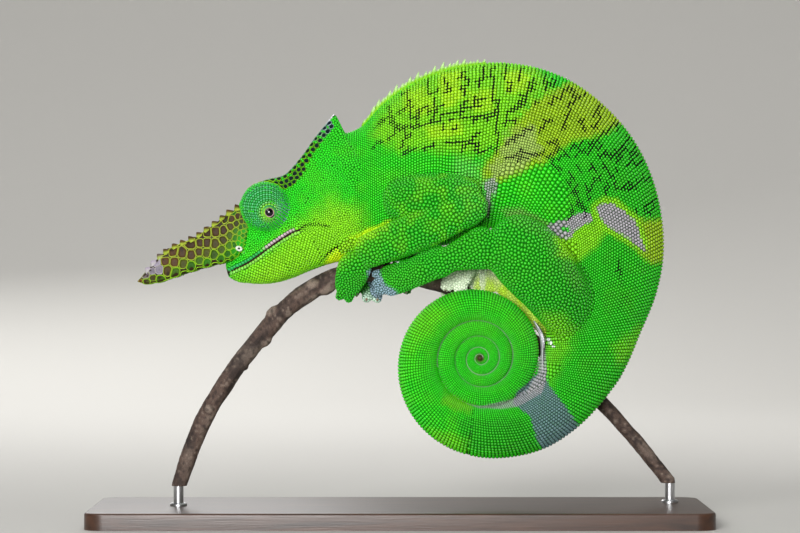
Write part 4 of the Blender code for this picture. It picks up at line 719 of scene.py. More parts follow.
def large_mesh(name, points, corners, totals):
    """A mesh of many faces, from the corners of all of them in one row and how many each has."""
    mesh = bpy.data.meshes.new(name)
    mesh.vertices.add(len(points))
    mesh.vertices.foreach_set("co", (points * MM).astype(np.float32).ravel())
    mesh.loops.add(len(corners))
    mesh.loops.foreach_set("vertex_index", corners.astype(np.int32))
    mesh.polygons.add(len(totals))
    mesh.polygons.foreach_set("loop_start", np.concatenate([[0], np.cumsum(totals)[:-1]]).astype(np.int32))
    mesh.update(calc_edges=True)
    return mesh


def paint(mesh, colours):
    """Gives each vertex its own colour, in linear light."""
    layer = mesh.color_attributes.new("tint", "FLOAT_COLOR", "POINT")
    full = np.ones((len(mesh.vertices), 4), np.float32)
    full[:, :3] = np.clip(colours, 0, 1)
    layer.data.foreach_set("color", full.ravel())


def painted_mesh(name, bodies):
    """Bodies in one mesh. Each is given as its points, its faces, and one colour or a colour for each point."""
    mesh = new_mesh(name, *gathered([body[:2] for body in bodies]))
    paint(mesh, np.concatenate([np.broadcast_to(tint, points.shape) for points, _, tint in bodies]))
    return mesh


def add_object(name, data):
    made = bpy.data.objects.new(name, data)
    bpy.context.scene.collection.objects.link(made)
    return made


def place_piece(name, mesh, material, replaced=()):
    """A piece of the model, which rides on its one body."""
    made = add_object(name, mesh)
    mesh.materials.append(material)
    mesh.shade_smooth()
    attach(made, "root")
    if replaced:
        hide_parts(*replaced)
    return made


def tree_of(points):
    """A search tree of points."""
    tree = KDTree(len(points))
    for i, point in enumerate(points.tolist()):
        tree.insert(point, i)
    tree.balance()
    return tree


class Surface:
    """A skin to stand scales on: its points, and the nearest place on it."""

    def __init__(self, points, triangles):
        self.points, self.triangles = points, triangles
        a, b, c = (points[triangles[:, i]] for i in range(3))
        face = np.cross(b - a, c - a)
        total = np.zeros_like(points)
        for i, axis in np.ndindex(3, 3):
            total[:, axis] += np.bincount(triangles[:, i], face[:, axis], len(points))
        self.normals = unit(total)
        self.tree = BVHTree.FromPolygons(points.tolist(), triangles.tolist())

    def nearest(self, places, reach=3.0):
        """The nearest places on the skin, the normals there, and how far off they are."""
        places = np.asarray(places, float)
        found, faces, far = places.copy(), np.zeros(len(places), int), np.full(len(places), 99.0)
        for i, place in enumerate(places.tolist()):
            where, _, face, distance = self.tree.find_nearest(place, reach)
            if where is not None:
                found[i], faces[i], far[i] = where, face, distance
        corners = self.triangles[faces]
        weights = 1 / (np.linalg.norm(self.points[corners] - found[:, None], axis=2) + 0.05)
        return found, unit((self.normals[corners] * weights[..., None]).sum(axis=1)), far


# The skin


def toes_of(name):
    """Each toe of a bundle: its root, its tip, its radii, the way it runs and the way in to the branch."""
    rows, side, toes, along = LIMBS[name]
    before, last = np.array(turned(rows, side)[-2:])
    ahead = unit((last - before)[:3])
    across, inwards = frame_of(ahead, along)
    inwards = inwards * math.copysign(1.0, inwards[1] * -last[1])
    made = []
    for i in range(toes):
        place = (2 * i - toes + 1) / toes
        root = last[:3] + across * place * last[3] * 0.9 - ahead * 1.2
        tip = root + ahead * (TOE_LENGTH + 1.2 - 0.5 * abs(place))
        made.append((root, tip, last[3] / toes, last[4], ahead, inwards))
    return made


def fused(points, faces, grain):
    """One closed skin round overlapping bodies, by a fine voxel remesh."""
    mesh = bpy.data.meshes.new("flesh")
    mesh.from_pydata(points.tolist(), [], faces)
    made = add_object("flesh", mesh)
    step = made.modifiers.new("fuse", "REMESH")
    step.mode, step.voxel_size, step.adaptivity = "VOXEL", grain, 0.0
    bpy.context.view_layer.update()
    result = bpy.data.meshes.new_from_object(made.evaluated_get(bpy.context.evaluated_depsgraph_get()))
    bpy.data.objects.remove(made)
    result.calc_loop_triangles()
    found = np.empty(len(result.vertices) * 3, np.float32)
    result.vertices.foreach_get("co", found)
    corners = np.empty(len(result.loop_triangles) * 3, np.int32)
    result.loop_triangles.foreach_get("vertices", corners)
    bpy.data.meshes.remove(result)
    return found.reshape(-1, 3).astype(float), corners.reshape(-1, 3)


def relaxed(points, triangles, rounds, back=-0.5):
    """Smooths away the steps of the remesh and rounds the joints, without shrinking the toes."""
    ends = np.concatenate([triangles[:, [0, 1]], triangles[:, [1, 2]], triangles[:, [2, 0]]])
    count = np.maximum(sum(np.bincount(ends[:, i], minlength=len(points)) for i in (0, 1)), 1)
    for i in range(2 * rounds):
        pull = np.empty_like(points)
        for axis in range(3):
            pull[:, axis] = np.bincount(ends[:, 0], points[ends[:, 1], axis], len(points))
            pull[:, axis] += np.bincount(ends[:, 1], points[ends[:, 0], axis], len(points))
        points = points + (pull / count[:, None] - points) * (0.6 if i % 2 == 0 else back)
    return points


def turret_body(side, grow):
    rows, turn = [], circle(40)
    for a in np.radians(np.linspace(4, 176, 26)):
        radius = (TURRET_RADIUS + grow) * math.sin(a)
        y = side * (TURRET_OUT + (TURRET_HALF_WIDTH + grow) * math.cos(a))
        rows.append(np.column_stack([TURRET_CENTRE[0] + radius * np.cos(turn), 0 * turn + y,
                                     TURRET_CENTRE[1] + radius * np.sin(turn)]))
    return closed_body(rows, (True, True))


def flesh_points(sizes):
    """The skin of all but the coil: one shell fused from the bodies of the trunk, the head and the limbs."""
    grow = -sizes.skin_sunk / MM
    bodies = [closed_body(body_rings(np.linspace(0.0, FUSED_END, 190), 72, grow))]
    bodies.append(closed_body([head_ring(u, grow) for u in np.linspace(HEAD_FRONT, HEAD_BACK, 90)], (True, False)))
    bodies += [turret_body(side, grow) for side in SIDES.values()]
    for name, (rows, side, _, along) in LIMBS.items():
        bodies.append(closed_body(limb_rings(rounded(turned(rows, side), 14), 24, grow, along), (True, True)))
        for root, tip, radius, width, _, _ in toes_of(name):
            toe = rounded([(*root, radius, width * 0.9), (*tip, radius * 0.92, width * 0.75)], 4, (False, True))
            bodies.append(closed_body(limb_rings(toe, 16, grow, along), (False, True)))
    points, triangles = fused(*gathered(bodies), sizes.skin_grain / MM)
    points = relaxed(points, triangles, 5)
    # Loose skin runs from the flank on to the limb in a soft hollow.
    which, _, _, off = limb_share(points)
    roots = limbs_with(which, "thigh", "upper_arm")
    points = mix(points, relaxed(points, triangles, 22, 0.3), roots * soft(off, 0.72, 0.95) * soft(1.6 - off, 0, 0.3))

    def press(off, chosen, way, deep, half):
        points[chosen, 1] += way * deep * np.exp(-((off[chosen] / half) ** 2))

    for line, half, deep in SLITS:
        near = line_distance(points[:, [0, 2]], line)
        press(near, (near < 2 * half) & (points[:, 1] < -6), 1, deep, half)
    for side in SIDES.values():
        away = np.hypot(points[:, 0] - gaze(side)[0], points[:, 2] - gaze(side)[2])
        pit = (away < LID_RADIUS + LID_EDGE) & (points[:, 1] * side > 8)
        points[pit, 1] -= side * 3.4 * soft(LID_RADIUS + LID_EDGE - away[pit], 0, 0.5)
        away = np.hypot(points[:, 0] - NOSTRIL[0], points[:, 2] - NOSTRIL[1])
        press(away, (away < 1.1) & (points[:, 1] * side > 2.5), -side, 1.2, 0.5)
        # The line of the mouth.
        u, v = to_head(points[:, 0], points[:, 2])
        off = np.abs(v - mouth_at(u))
        pressed = (off < 1.0) & (u > -2.5) & (u < 27) & (points[:, 1] * side > 0) & (points[:, 0] < MOUTH_BACK)
        press(off, pressed, -side, 0.7, 0.35)
    return points, triangles


def make_skin(sizes):
    """The fused shell and the coil, which starts inside it, as one mesh. Its faces start with those of the shell."""
    points, triangles = flesh_points(sizes)
    stations = np.linspace(len(TRUNK) + (0.02 - COIL_START) / COIL_STEP, BODY_END, 760)
    shell, faces = closed_body(body_rings(stations, 40, -sizes.skin_sunk / MM), (False, True))
    joined = np.concatenate([points, shell])
    faces = np.concatenate([triangles, triangulated(faces)[:, ::-1] + len(points)])
    mesh = large_mesh("skin", joined, faces.ravel(), np.full(len(faces), 3))
    return mesh, Surface(joined, faces), len(triangles)


# The lie of the scales


class Coat:
    """Where scales stand, as arrays of one row for each scale."""

    FIELDS = ("place", "along", "size", "kind", "spot", "piece", "out")

    def __init__(self, place, along, size, kind, spot, piece, out=0.0):
        self.place, self.size, self.spot = np.asarray(place), np.asarray(size), np.asarray(spot)
        self.along, self.out = (np.broadcast_to(value, self.place.shape) for value in (along, out))
        self.kind, self.piece = (np.broadcast_to(value, len(self.size)) for value in (kind, piece))

    def kept(self, which):
        return Coat(*(getattr(self, name)[which] for name in self.FIELDS))

    def settle(self, surface):
        """Sets the scales down on the surface, and returns how far off it they were."""
        self.place, self.out, far = surface.nearest(self.place)
        return far

    @classmethod
    def joined(cls, coats):
        return cls(*(np.concatenate([getattr(coat, name) for coat in coats]) for name in cls.FIELDS))

    @classmethod
    def mirrored(cls, place, along, size, kind, spot, piece):
        """The same scales on both sides. Their spots in the map are given from the middle of it outwards."""
        return cls.joined([
            cls(place * (1, side, 1), along * (1, side, 1), size, kind,
                np.column_stack([spot[:, 0], 0.5 + side * spot[:, 1]]), piece) for side in (RIGHT, LEFT)
        ])


# Kinds of scale: how round it is, then rings of (share of its radius, height, darkness of the rim, light), and the
# light at its crown. The darkened rim is painted shade at the foot of each dome, and the light is a painted
# highlight, but on the ridge and the casque it is the pale colour of the crest and of each plate's outline.
KINDS = {
    "flank": (1.25, [(1.0, -0.14, 0.1, 0.0), (0.76, 0.24, 0.85, 0.05)], 0.4, 0.5),
    "ridge": (1.2, [(1.0, -0.2, 0.4, 0.1), (0.66, 0.32, 0.9, 0.45)], 0.52, 0.7),
    "granule": (1.25, [(1.0, -0.13, 0.1, 0.0), (0.76, 0.27, 0.85, 0.06)], 0.46, 0.5),
    "head": (1.3, [(1.0, -0.1, 0.3, 0.0), (0.76, 0.2, 0.95, 0.05)], 0.34, 0.3),
    "lid": (3.4, [(1.0, -0.1, 0.3, 0.0), (0.86, 0.15, 1.0, 0.1)], 0.19, 0.2),
    "pale_lid": (3.4, [(1.0, -0.1, 0.3, 0.0), (0.86, 0.15, 1.0, 0.1)], 0.19, 0.2),
    "lip": (1.5, [(1.0, -0.12, 0.5, 0.0), (0.78, 0.24, 1.0, 0.0)], 0.33, 0.2),
    "casque": (1.6, [(1.0, -0.1, 0.5, 0.4), (0.95, 0.16, 0.9, 0.9), (0.82, 0.07, 1.0, 0.0)], 0.05, 0.0),
}
KIND = {name: i for i, name in enumerate(KINDS)}
LID_KINDS = [KIND["lid"], KIND["pale_lid"]]
PIECES = ["coat_shoulder", "coat_flank", "coat_rump", "coat_tail_root", "coat_coil", "coat_coil_inner", "coat_head",
          "coat_casque", "coat_turrets", "coat_arms", "coat_legs", "coat_hands", "coat_feet"]
PIECE = {name: i for i, name in enumerate(PIECES)}
PIECE_ENDS = (4.2, 8.5, 13.0, 27.0, 47.0)  # the stations at which the first pieces of the coat end
ATLAS_CELLS = 4
TRIED_GRANULES = 460000
AROUND = list(itertools.product((-1, 0, 1), repeat=3))


def scale_pitch(b, sizes):
    """The spacing of the scales along the back. It gets finer along the coil."""
    near_neck = 0.66 + 0.34 * soft(np.asarray(b, float), -0.5, 5.5)
    return sizes.flank_scale / MM * near_neck * np.clip(coil_radius(coil_turn(b)) / 30.0, 0.08, 1.0) ** 0.47


def body_piece(b):
    """Which piece of the coat a station of the body belongs to: they come in the order of the stations."""
    return np.searchsorted(PIECE_ENDS, b)


def body_scales(sizes):
    """Scales in rows along the body and rings round it, and the grid of their corners."""
    b = np.linspace(0.0, BODY_END - 0.6, 9000)
    grow = -sizes.skin_sunk / MM
    pitch = scale_pitch(b, sizes)
    step = np.linalg.norm(np.diff(body_rings(b, 4, grow)[:, 0], axis=0), axis=1)
    count = np.concatenate([[0], np.cumsum(step * 2 / (pitch[1:] + pitch[:-1]))])
    order = np.arange(0.5, count[-1] - 0.5)
    columns = np.interp(order, count, b)
    fine = 192
    down = np.arange(fine // 2 + 1)
    rings, after, before = (body_rings(np.interp(order + off, count, b), fine, grow)[:, down] for off in (0, 0.5, -0.5))
    rows, tops = [], []
    for c, (path, way, here) in enumerate(zip(rings, after - before, scale_pitch(columns, sizes), strict=True)):
        wide = np.linalg.norm(way, axis=1)
        coiled = np.clip((columns[c] - 13) / 6, 0, 1)
        # Where the columns crowd on the inside of a bend, every second one ends, and then every second again.
        folds = np.clip(np.ceil(np.log2((0.62 - 0.16 * coiled) * here / np.maximum(wide, 1e-3))), 0, 6)
        spacing = np.clip(wide * 2**folds, here * (0.66 - 0.2 * coiled), here * 1.08)
        run = np.linalg.norm(np.diff(path, axis=0), axis=1)
        total = np.concatenate([[0], np.cumsum(run / ((spacing[1:] + spacing[:-1]) / 2))])
        at = np.arange(0.85, total[-1] - 0.2, 1.0)
        index = np.interp(at, total, down)
        whole, ways = read_off(index, down, path), read_off(index, down, way)
        downs = unit(read_off(index + 1, down, path) - whole)
        keep = c % (2 ** folds[np.round(index).astype(int)]).astype(int) == 0
        upper = soft(columns[c], 0.5, 2.5) * soft(13.5 - columns[c], 0, 3) * soft(0.6 - index / len(down), 0, 0.2)
        wander = here * (0.07 + 0.1 * upper + 0.16 * max(0.0, 1 - columns[c] / 1.5))[:, None]
        whole = whole + noise(whole, here * 0.9, 12)[:, None] * unit(ways) * wander
        whole = whole + noise(whole, here * 0.9, 15)[:, None] * downs * wander
        wide, number = np.interp(index, down, spacing), np.arange(len(at))
        found = (whole, ways, wide, np.full(len(at), c), number, index / down[-1])
        rows.append([value[keep] for value in found])
        tops.append((path[0], way[0], here * (0.95 - 0.2 * coiled)))
    place, along, size, column, row, share = (np.concatenate(found) for found in zip(*rows, strict=True))
    spot = columns / BODY_END
    flank = Coat.mirrored(place, along, size, KIND["flank"], np.column_stack([spot[column], share * 0.48]),
                          body_piece(columns[column]))
    ridge = Coat(*map(np.array, zip(*tops, strict=True)), KIND["ridge"], np.column_stack([spot, 0 * spot + 0.5]),
                 body_piece(columns))
    lookup = {key: i for i, key in enumerate(zip(column.tolist(), row.tolist(), strict=True))}
    return Coat.joined([flank, ridge]), place, lookup


def crack_points(place, lookup, seed=4):
    """Points along the black lines, which step from furrow to furrow of the left flank's scales."""
    rng = np.random.default_rng(seed)
    corners = {}
    for c, r in lookup:
        around = [lookup.get((c + i, r + j)) for i, j in np.ndindex(2, 2)]
        if None not in around:
            corners[(c, r)] = place[around].mean(axis=0)
    keys, spots = np.array(list(corners)), np.array(list(corners.values()))
    lines, widths = [], []

    def nearest(x, z):
        return keys[np.argmin(np.hypot(spots[:, 0] - x, spots[:, 2] - z))].copy()

    def lay(one, two):
        if tuple(one) not in corners or tuple(two) not in corners:
            return False
        if rng.random() < 0.8:
            lines.append(np.linspace(corners[tuple(one)], corners[tuple(two)], 6))
            widths.append([rng.choice((0.28, 0.5))] + [rng.uniform(0.1, 0.3)] * 4 + [0.3])
        return True

    for x0, z0, x1, z1 in CRACKS:
        here, goal = nearest(x0, z0), nearest(x1, z1)
        for _ in range(90):
            left = goal - here
            if not left.any():
                break
            step = np.zeros(2, int)
            if rng.random() < 0.12:
                step[rng.integers(2)] = rng.choice((-1, 1))
            else:
                axis = int(rng.random() * (abs(left).sum() + 2) >= abs(left[0]) + 1)
                axis = axis if left[axis] else 1 - axis
                step[axis] = np.sign(left[axis])
            if not lay(here, here + step):
                break
            here = here + step
            if rng.random() < 0.16:
                spur = np.roll(step, 1) * rng.choice((-1, 1))
                lay(here, here + spur)
    for outline, share in STROKES:
        inside = keys[depth_in(spots[:, [0, 2]], outline) > 0]
        for key in inside[rng.random(len(inside)) < share * 0.42]:
            for arm in rng.permutation([(0, 1), (0, -1), (1, 0), (-1, 0)])[: rng.integers(2, 4)]:
                for reach in range(2 if rng.random() < 0.3 else 1):
                    lay(key + arm * reach, key + arm * (reach + 1))
    for line in CREASES:
        lines.append(resample([(x, 0.0, z) for x, z in line], np.linspace(0, 1, 60)))
        widths.append([0.34] * 60)
    return np.concatenate(lines), np.concatenate(widths)


def turret_scales(sizes):
    """Fine rings of long scales on the turrets. The first runs round the lid, and the last round the turret."""
    grow, pitch = -sizes.skin_sunk / MM, sizes.lid_scale / MM
    start, edge = LID_RADIUS + 0.95, TURRET_RADIUS + grow - 0.15
    rings = round((edge - start) / pitch)
    coats = []
    for side in SIDES.values():
        for ring in range(rings + 1):
            share = ring / rings
            reach = start + (edge - start) * share
            count = int(2 * np.pi * reach / pitch / 2.1)
            turn = 2 * np.pi * (np.arange(count) + 0.618 * ring) / count
            x = LID_OFFSET[0] * (1 - share) + reach * np.cos(turn)
            z = LID_OFFSET[1] * (1 - share) + reach * np.sin(turn)
            coats.append(Coat(
                np.column_stack([TURRET_CENTRE[0] + x, side * turret_out(x, z, grow), TURRET_CENTRE[1] + z]),
                np.column_stack([-np.sin(turn), 0 * turn, np.cos(turn)]),
                (edge - start - LID_OFFSET[0] * np.cos(turn) - LID_OFFSET[1] * np.sin(turn)) / rings * 1.1,
                KIND["pale_lid" if ring % 2 else "lid"], np.column_stack([0.5 + side * (0.25 + x / 60), 0.5 + z / 30]),
                PIECE["coat_turrets"],
            ))
    return Coat.joined(coats)


def on_head(u, y, v, size, kind, level):
    """One scale of the head: its place, size, kind and spot in the map."""
    x, z = from_head(u, v)
    return (x, y, z), size, kind, (0.05 + 0.9 * (HEAD_FRONT - u) / HEAD_RUN, level)


def head_coat(rows, piece, way):
    """Scales of the head, given for the right side, on both sides."""
    place, size, kind, spot = (np.array(row) for row in zip(*rows, strict=True))
    ahead = np.array([math.cos(HEAD_SLOPE), 0, math.sin(HEAD_SLOPE)]) * way
    return Coat.mirrored(place, np.tile(ahead, (len(place), 1)), size, kind, spot, PIECE[piece])


def casque_edge(curve):
    """Where the edge of the casque lies on half an outline of the head."""
    return np.argmax(curve[:, 1] + curve[:, 0] * 0.05)


def jaw_scales(sizes):
    """Long granules in rows along the lower jaw and the throat, and the scales of both lips."""
    pitch, grow = sizes.head_scale / MM, -sizes.skin_sunk / MM
    rows = []
    for step, u in enumerate(np.arange(23.4, -8.0, -0.25)):
        curve = head_curve(u, 80, grow)
        below = curve[curve[:, 1] < profile(MOUTH, max(u, MOUTH_ENDS[0]))[0]]
        run = run_of(below)
        for r, off in enumerate(np.arange(1.75, run[-1] - 0.2, pitch * 1.08)):
            if (step + 2 * (r % 2)) % 4 == 0:
                level = 0.2 + 0.28 * off / run[-1]
                rows.append(on_head(u, *read_off(off, run, below), pitch * 1.35, KIND["head"], level))
    for u in np.arange(8.0, HEAD_BACK + 0.5, -0.85):
        curve = head_curve(u, 90, grow)
        rows.append(on_head(u, *curve[casque_edge(curve)], 0.95, KIND["lip"], 0.01))
    for level, tall in ((0.68, 0.82), (-0.62, 0.75)):
        for u in np.arange(24.3, -0.2, -0.95):
            curve = head_curve(u, 80, grow)[20:]
            v = profile(MOUTH, u)[0] + level
            y = np.interp(-v, -curve[:, 1], curve[:, 0])
            rows.append(on_head(u, y, v, 1.25 * tall, KIND["lip"], 0.19 + 0.01 * level))
    return head_coat(rows, "coat_head", -1)


def casque_scales(sizes):
    """The dark plates that edge the casque and run on over the brow, in one to three rows."""
    rows = []
    for row, (inset, pitch, u, last) in enumerate(
            ((0.95, 2.0, 8.0, HEAD_BACK + 1.4), (2.6, 1.7, 6.5, -22.5), (4.0, 1.5, 3.5, -10.0))):
        while u > last:
            curve = head_curve(u, 90, -sizes.skin_sunk / MM)
            curve = curve[casque_edge(curve) :]
            rows.append(on_head(u, *read_off(inset, run_of(curve), curve), pitch, KIND["casque"], 0.02 + 0.02 * row))
            u -= pitch * 0.94
    return head_coat(rows, "coat_casque", 1)


def limb_share(places):
    """The limb that each place belongs to, how far along it lies, its angle, and how far off it is in radii."""
    best, which = np.full(len(places), 1e9), np.full(len(places), -1)
    run, angle = np.zeros(len(places)), np.zeros(len(places))
    for index, (rows, side, _, along) in enumerate(LIMBS.values()):
        line = resample(turned(rows, side), np.linspace(0, 1, 26))
        ways = unit(np.gradient(line[:, :3], axis=0))
        deep, wide = np.array([frame_of(way, along) for way in ways]).transpose(1, 0, 2)
        reach = line[:, 3].max() * 1.6
        low, high = line[:, :3].min(axis=0) - reach, line[:, :3].max(axis=0) + reach
        inside = np.flatnonzero(((places > low) & (places < high)).all(axis=1))
        off = places[inside, None] - line[None, :, :3]
        at = np.argmin((off**2).sum(axis=2), axis=1)
        off, row = off[np.arange(len(at)), at], line[at]
        d, w, s = (np.einsum("ij,ij->i", off, axis[at]) for axis in (deep, wide, ways))
        past = np.where(at == 0, 1.6, 0.6)
        reached = np.sqrt((d / row[:, 3]) ** 2 + (w / row[:, 4]) ** 2 + (past * s / row[:, 3]) ** 2)
        better = reached < best[inside]
        chosen = inside[better]
        best[chosen], which[chosen] = reached[better], index
        run[chosen], angle[chosen] = at[better] / 25, np.arctan2(w, d)[better]
    return which, run, angle, best


def limbs_with(which, *words):
    """Which places are on a limb whose name holds one of these words."""
    return np.isin(which, [i for i, name in enumerate(LIMBS) if any(word in name for word in words)])


def limb_piece(which):
    words = {"arm": "coat_arms", "hand": "coat_hands", "foot": "coat_feet"}
    names = [next((piece for word, piece in words.items() if word in name), "coat_legs") for name in LIMBS]
    return np.array([PIECE[name] for name in names])[which]


def inside_branch(places):
    """Whether places lie inside the branch, where toes close round it."""
    line = resample(BRANCH, np.linspace(0, 1, 240))
    near = np.full(len(places), 1e9)
    close = (places[:, 2] > 60) & (places[:, 2] < 80) & (places[:, 0] < 30)
    for row in line:
        near[close] = np.minimum(near[close], np.linalg.norm(places[close] - row[:3], axis=1) - row[3])
    return near < 0.1


def scattered(surface, body_faces, fixed, sizes, seed=11):
    """Round granules of mixed size wherever no row of scales lies."""
    rng = np.random.default_rng(seed)
    triangles = surface.triangles[:body_faces]
    a, b, c = (surface.points[triangles[:, i]] for i in range(3))
    area = np.linalg.norm(np.cross(b - a, c - a), axis=1)
    chosen = rng.choice(len(triangles), TRIED_GRANULES, p=area / area.sum())
    s, t = rng.random(len(chosen)), rng.random(len(chosen))
    flip = s + t > 1
    s, t = np.where(flip, 1 - s, s)[:, None], np.where(flip, 1 - t, t)[:, None]
    place = a[chosen] + (b[chosen] - a[chosen]) * s + (c[chosen] - a[chosen]) * t
    guard = tree_of(fixed.place)
    index, clear = (np.array(found) for found in zip(*(guard.find(p)[1:] for p in place.tolist()), strict=True))
    clear = clear - 0.42 * fixed.size[index]
    place, chosen, clear = place[clear > 0.2], chosen[clear > 0.2], clear[clear > 0.2]
    out = unit(surface.normals[triangles[chosen]].sum(axis=1))
    which, run, angle, off = limb_share(place)
    limb = (which >= 0) & (off < LIMB_REACH)
    toes = limb & limbs_with(which, "hand", "foot")
    u, v = to_head(place[:, 0], place[:, 2])
    head = ~limb & (u > -20) & (place[:, 0] < -12)
    pitch = sizes.flank_scale / MM * (0.62 + 0.38 * soft(place[:, 0], -10, 30))
    pitch[head] = sizes.head_scale / MM * (0.92 + 0.16 * soft(v[head], 9, 22))
    outward = soft(out[:, 1] * np.sign(place[:, 1]), 0.3, 0.95)
    pitch[limb] = sizes.limb_scale / MM * (0.84 + 0.26 * outward[limb])
    pitch[toes] = sizes.toe_scale / MM
    pitch *= np.where(limb & ~toes, rng.choice((0.84, 0.98, 1.12), len(place), p=(0.3, 0.4, 0.3)),
                      rng.uniform(0.92, 1.06, len(place)))
    keep = (clear > 0.42 * pitch) & ~inside_branch(place)
    for side in SIDES.values():
        keep &= (np.linalg.norm(place - gaze(side), axis=1) > LID_RADIUS + 1.0) & (nostril_off(place, side) > 1.3)
    keep &= ~((np.abs(v - mouth_at(u)) < 1.35) & (u > -0.5) & (place[:, 0] < MOUTH_BACK) & ~limb)
    order = np.flatnonzero(keep)
    order = order[np.argsort(-pitch[order] + rng.random(len(order)) * 0.35)]
    # The largest are set first, and a granule is left out where one that is set already leaves it no room.
    grid, taken = {}, []
    places, pitches = place.tolist(), pitch.tolist()
    for i in order.tolist():
        here, mine = places[i], pitches[i]
        x, y, z = (int(value // 1.1) for value in here)
        near = (k for dx, dy, dz in AROUND for k in grid.get((x + dx, y + dy, z + dz), ()))
        if not any(math.dist(places[k], here) < 0.43 * (mine + pitches[k]) for k in near):
            grid.setdefault((x, y, z), []).append(i)
            taken.append(i)

    def by_part(on_limb, on_the_head, on_trunk):
        return np.where(limb, on_limb, np.where(head, on_the_head, on_trunk))[taken]

    across = (which % ATLAS_CELLS) / ATLAS_CELLS + (0.05 + 0.9 * run) / ATLAS_CELLS
    level = (which // ATLAS_CELLS) / ATLAS_CELLS + (0.05 + 0.9 * (0.5 + angle / (2 * np.pi))) / ATLAS_CELLS
    spot = np.column_stack([
        by_part(across, 0.05 + 0.9 * np.clip((HEAD_FRONT - u) / HEAD_RUN, 0, 1),
                0.02 + 0.96 * np.clip((place[:, 0] + 40) / 125, 0, 1)),
        by_part(level, 0.5 + 0.47 * (np.arctan2(place[:, 1], v - 2.0) / np.pi),
                0.5 + np.sign(place[:, 1]) * (0.02 + 0.45 * (140 - place[:, 2]) / 125)),
    ])
    return Coat(place[taken], np.cross(out, (0.3, 0.5, 0.8))[taken], pitch[taken],
                by_part(KIND["granule"], KIND["head"], KIND["flank"]), spot,
                by_part(limb_piece(np.maximum(which, 0)), PIECE["coat_head"], PIECE["coat_flank"]), out[taken])


def half_ways(coat, sides):
    """How far each scale may reach in each direction, half way to its neighbours, and those directions."""
    tree = tree_of(coat.place)
    near = np.array([[f[1] for f in tree.find_n(p, 15)[1:]] for p in coat.place.tolist()])
    one = unit(coat.along - coat.out * np.einsum("ij,ij->i", coat.along, coat.out)[:, None])
    two = np.cross(coat.out, one)
    off = coat.place[near] - coat.place[:, None]
    far = np.linalg.norm(off, axis=2)
    flat = np.stack([np.einsum("nkc,nc->nk", off, way) for way in (one, two)], axis=2)
    flat *= (far / np.maximum(np.linalg.norm(flat, axis=2), 1e-6))[..., None]
    facing = np.einsum("nkc,nc->nk", coat.out[near], coat.out)
    split = coat.size[:, None] / (coat.size[:, None] + coat.size[near])
    angle = circle(sides)
    reach = flat @ np.stack([np.cos(angle), np.sin(angle)])
    usable = (reach > 0.12 * far[..., None]) & (facing > -0.1)[..., None]
    radius = np.where(usable, (far**2 * split)[..., None] / np.maximum(reach, 1e-6), 1e9).min(axis=1)
    longest = np.array([max(1.0, kind[0] / 1.4) for kind in KINDS.values()])[coat.kind]
    return np.minimum(radius, (coat.size * longest)[:, None] * 0.78), one, two, angle


def settled(loose, fixed, surface, rounds=4):
    """Moves each granule to the middle of its own room, so that they pack evenly and leave no holes."""
    for _ in range(rounds):
        radius, one, two, angle = half_ways(Coat.joined([fixed, loose]), 12)
        radius, one, two = (rows[len(fixed.size) :] for rows in (radius, one, two))
        area = (radius**2).sum(axis=1)
        ahead, across = (((radius**3 @ turn) / area)[:, None] for turn in (np.cos(angle), np.sin(angle)))
        loose.place = loose.place + (one * ahead + two * across) * 0.6
        loose.settle(surface)
    return loose


def corners_of(coat, radius, one, two, angle):
    """The corners of scales, from how far they reach in each direction."""
    return coat.place[:, None] + radius[..., None] * (
        np.cos(angle)[None, :, None] * one[:, None] + np.sin(angle)[None, :, None] * two[:, None])


def cells(coat, sides, cracked):
    """How far each scale reaches in each direction, drawn in from the black lines."""
    radius, one, two, angle = half_ways(coat, sides)
    roundness = np.array([kind[0] for kind in KINDS.values()])[coat.kind]
    radius = np.minimum(radius, (np.median(radius, axis=1) * roundness)[:, None]) * 0.96
    radius[np.isin(coat.kind, LID_KINDS)] *= 1 - 0.2 * np.abs(np.sin(angle))
    corners = corners_of(coat, radius, one, two, angle)
    lines, widths = cracked
    # A crease of the head is drawn on the middle plane and serves both sides.
    crease = lines[:, 1] == 0
    for group, level, names in ((~crease, 1.0, ("coat_shoulder", "coat_flank", "coat_rump")),
                                (crease, 0.0, ("coat_head", "coat_shoulder"))):
        tree, wide, flat = tree_of(lines[group]), widths[group], np.array([1.0, level, 1.0])
        for i in np.flatnonzero(np.isin(coat.piece, [PIECE[name] for name in names])):
            if tree.find(coat.place[i] * flat)[2] < 1.3 and (level or coat.out[i, 1] < -0.2):
                for k in range(sides):
                    _, index, off = tree.find(corners[i, k] * flat)
                    radius[i, k] *= 0.68 if off < wide[index] else 1.0
    return radius, one, two, angle


def domes(coat, ways, surface, shares, lifts, crown, near=1.0):
    """Points of small domes: rings from the rim inwards, by their share of the reach and their height, and a crown."""
    sides = ways[0].shape[1]
    flat = corners_of(coat, *ways).reshape(-1, 3)
    found, out, far = surface.nearest(flat, near + 0.2)
    far = (far > near)[:, None]
    rim = np.where(far, flat, found).reshape(-1, sides, 3)
    rim_out = np.where(far, np.repeat(coat.out, sides, axis=0), out).reshape(-1, sides, 3)
    rings = []
    for share, lift in zip(shares[..., None, None], lifts[..., None, None], strict=True):
        way = unit(rim_out * share + coat.out[:, None] * (1 - share))
        rings.append(coat.place[:, None] * (1 - share) + rim * share + way * lift)
    return np.concatenate([*rings, (coat.place + coat.out * crown[:, None])[:, None]], axis=1).reshape(-1, 3)


def dome_tints(shades, crown, sides):
    """A colour for each point of the domes, from one for each ring and one for the crown."""
    rings = [np.repeat(shade[:, None], sides, axis=1) for shade in shades]
    return np.concatenate([*rings, crown[:, None]], axis=1).reshape(-1, 3)


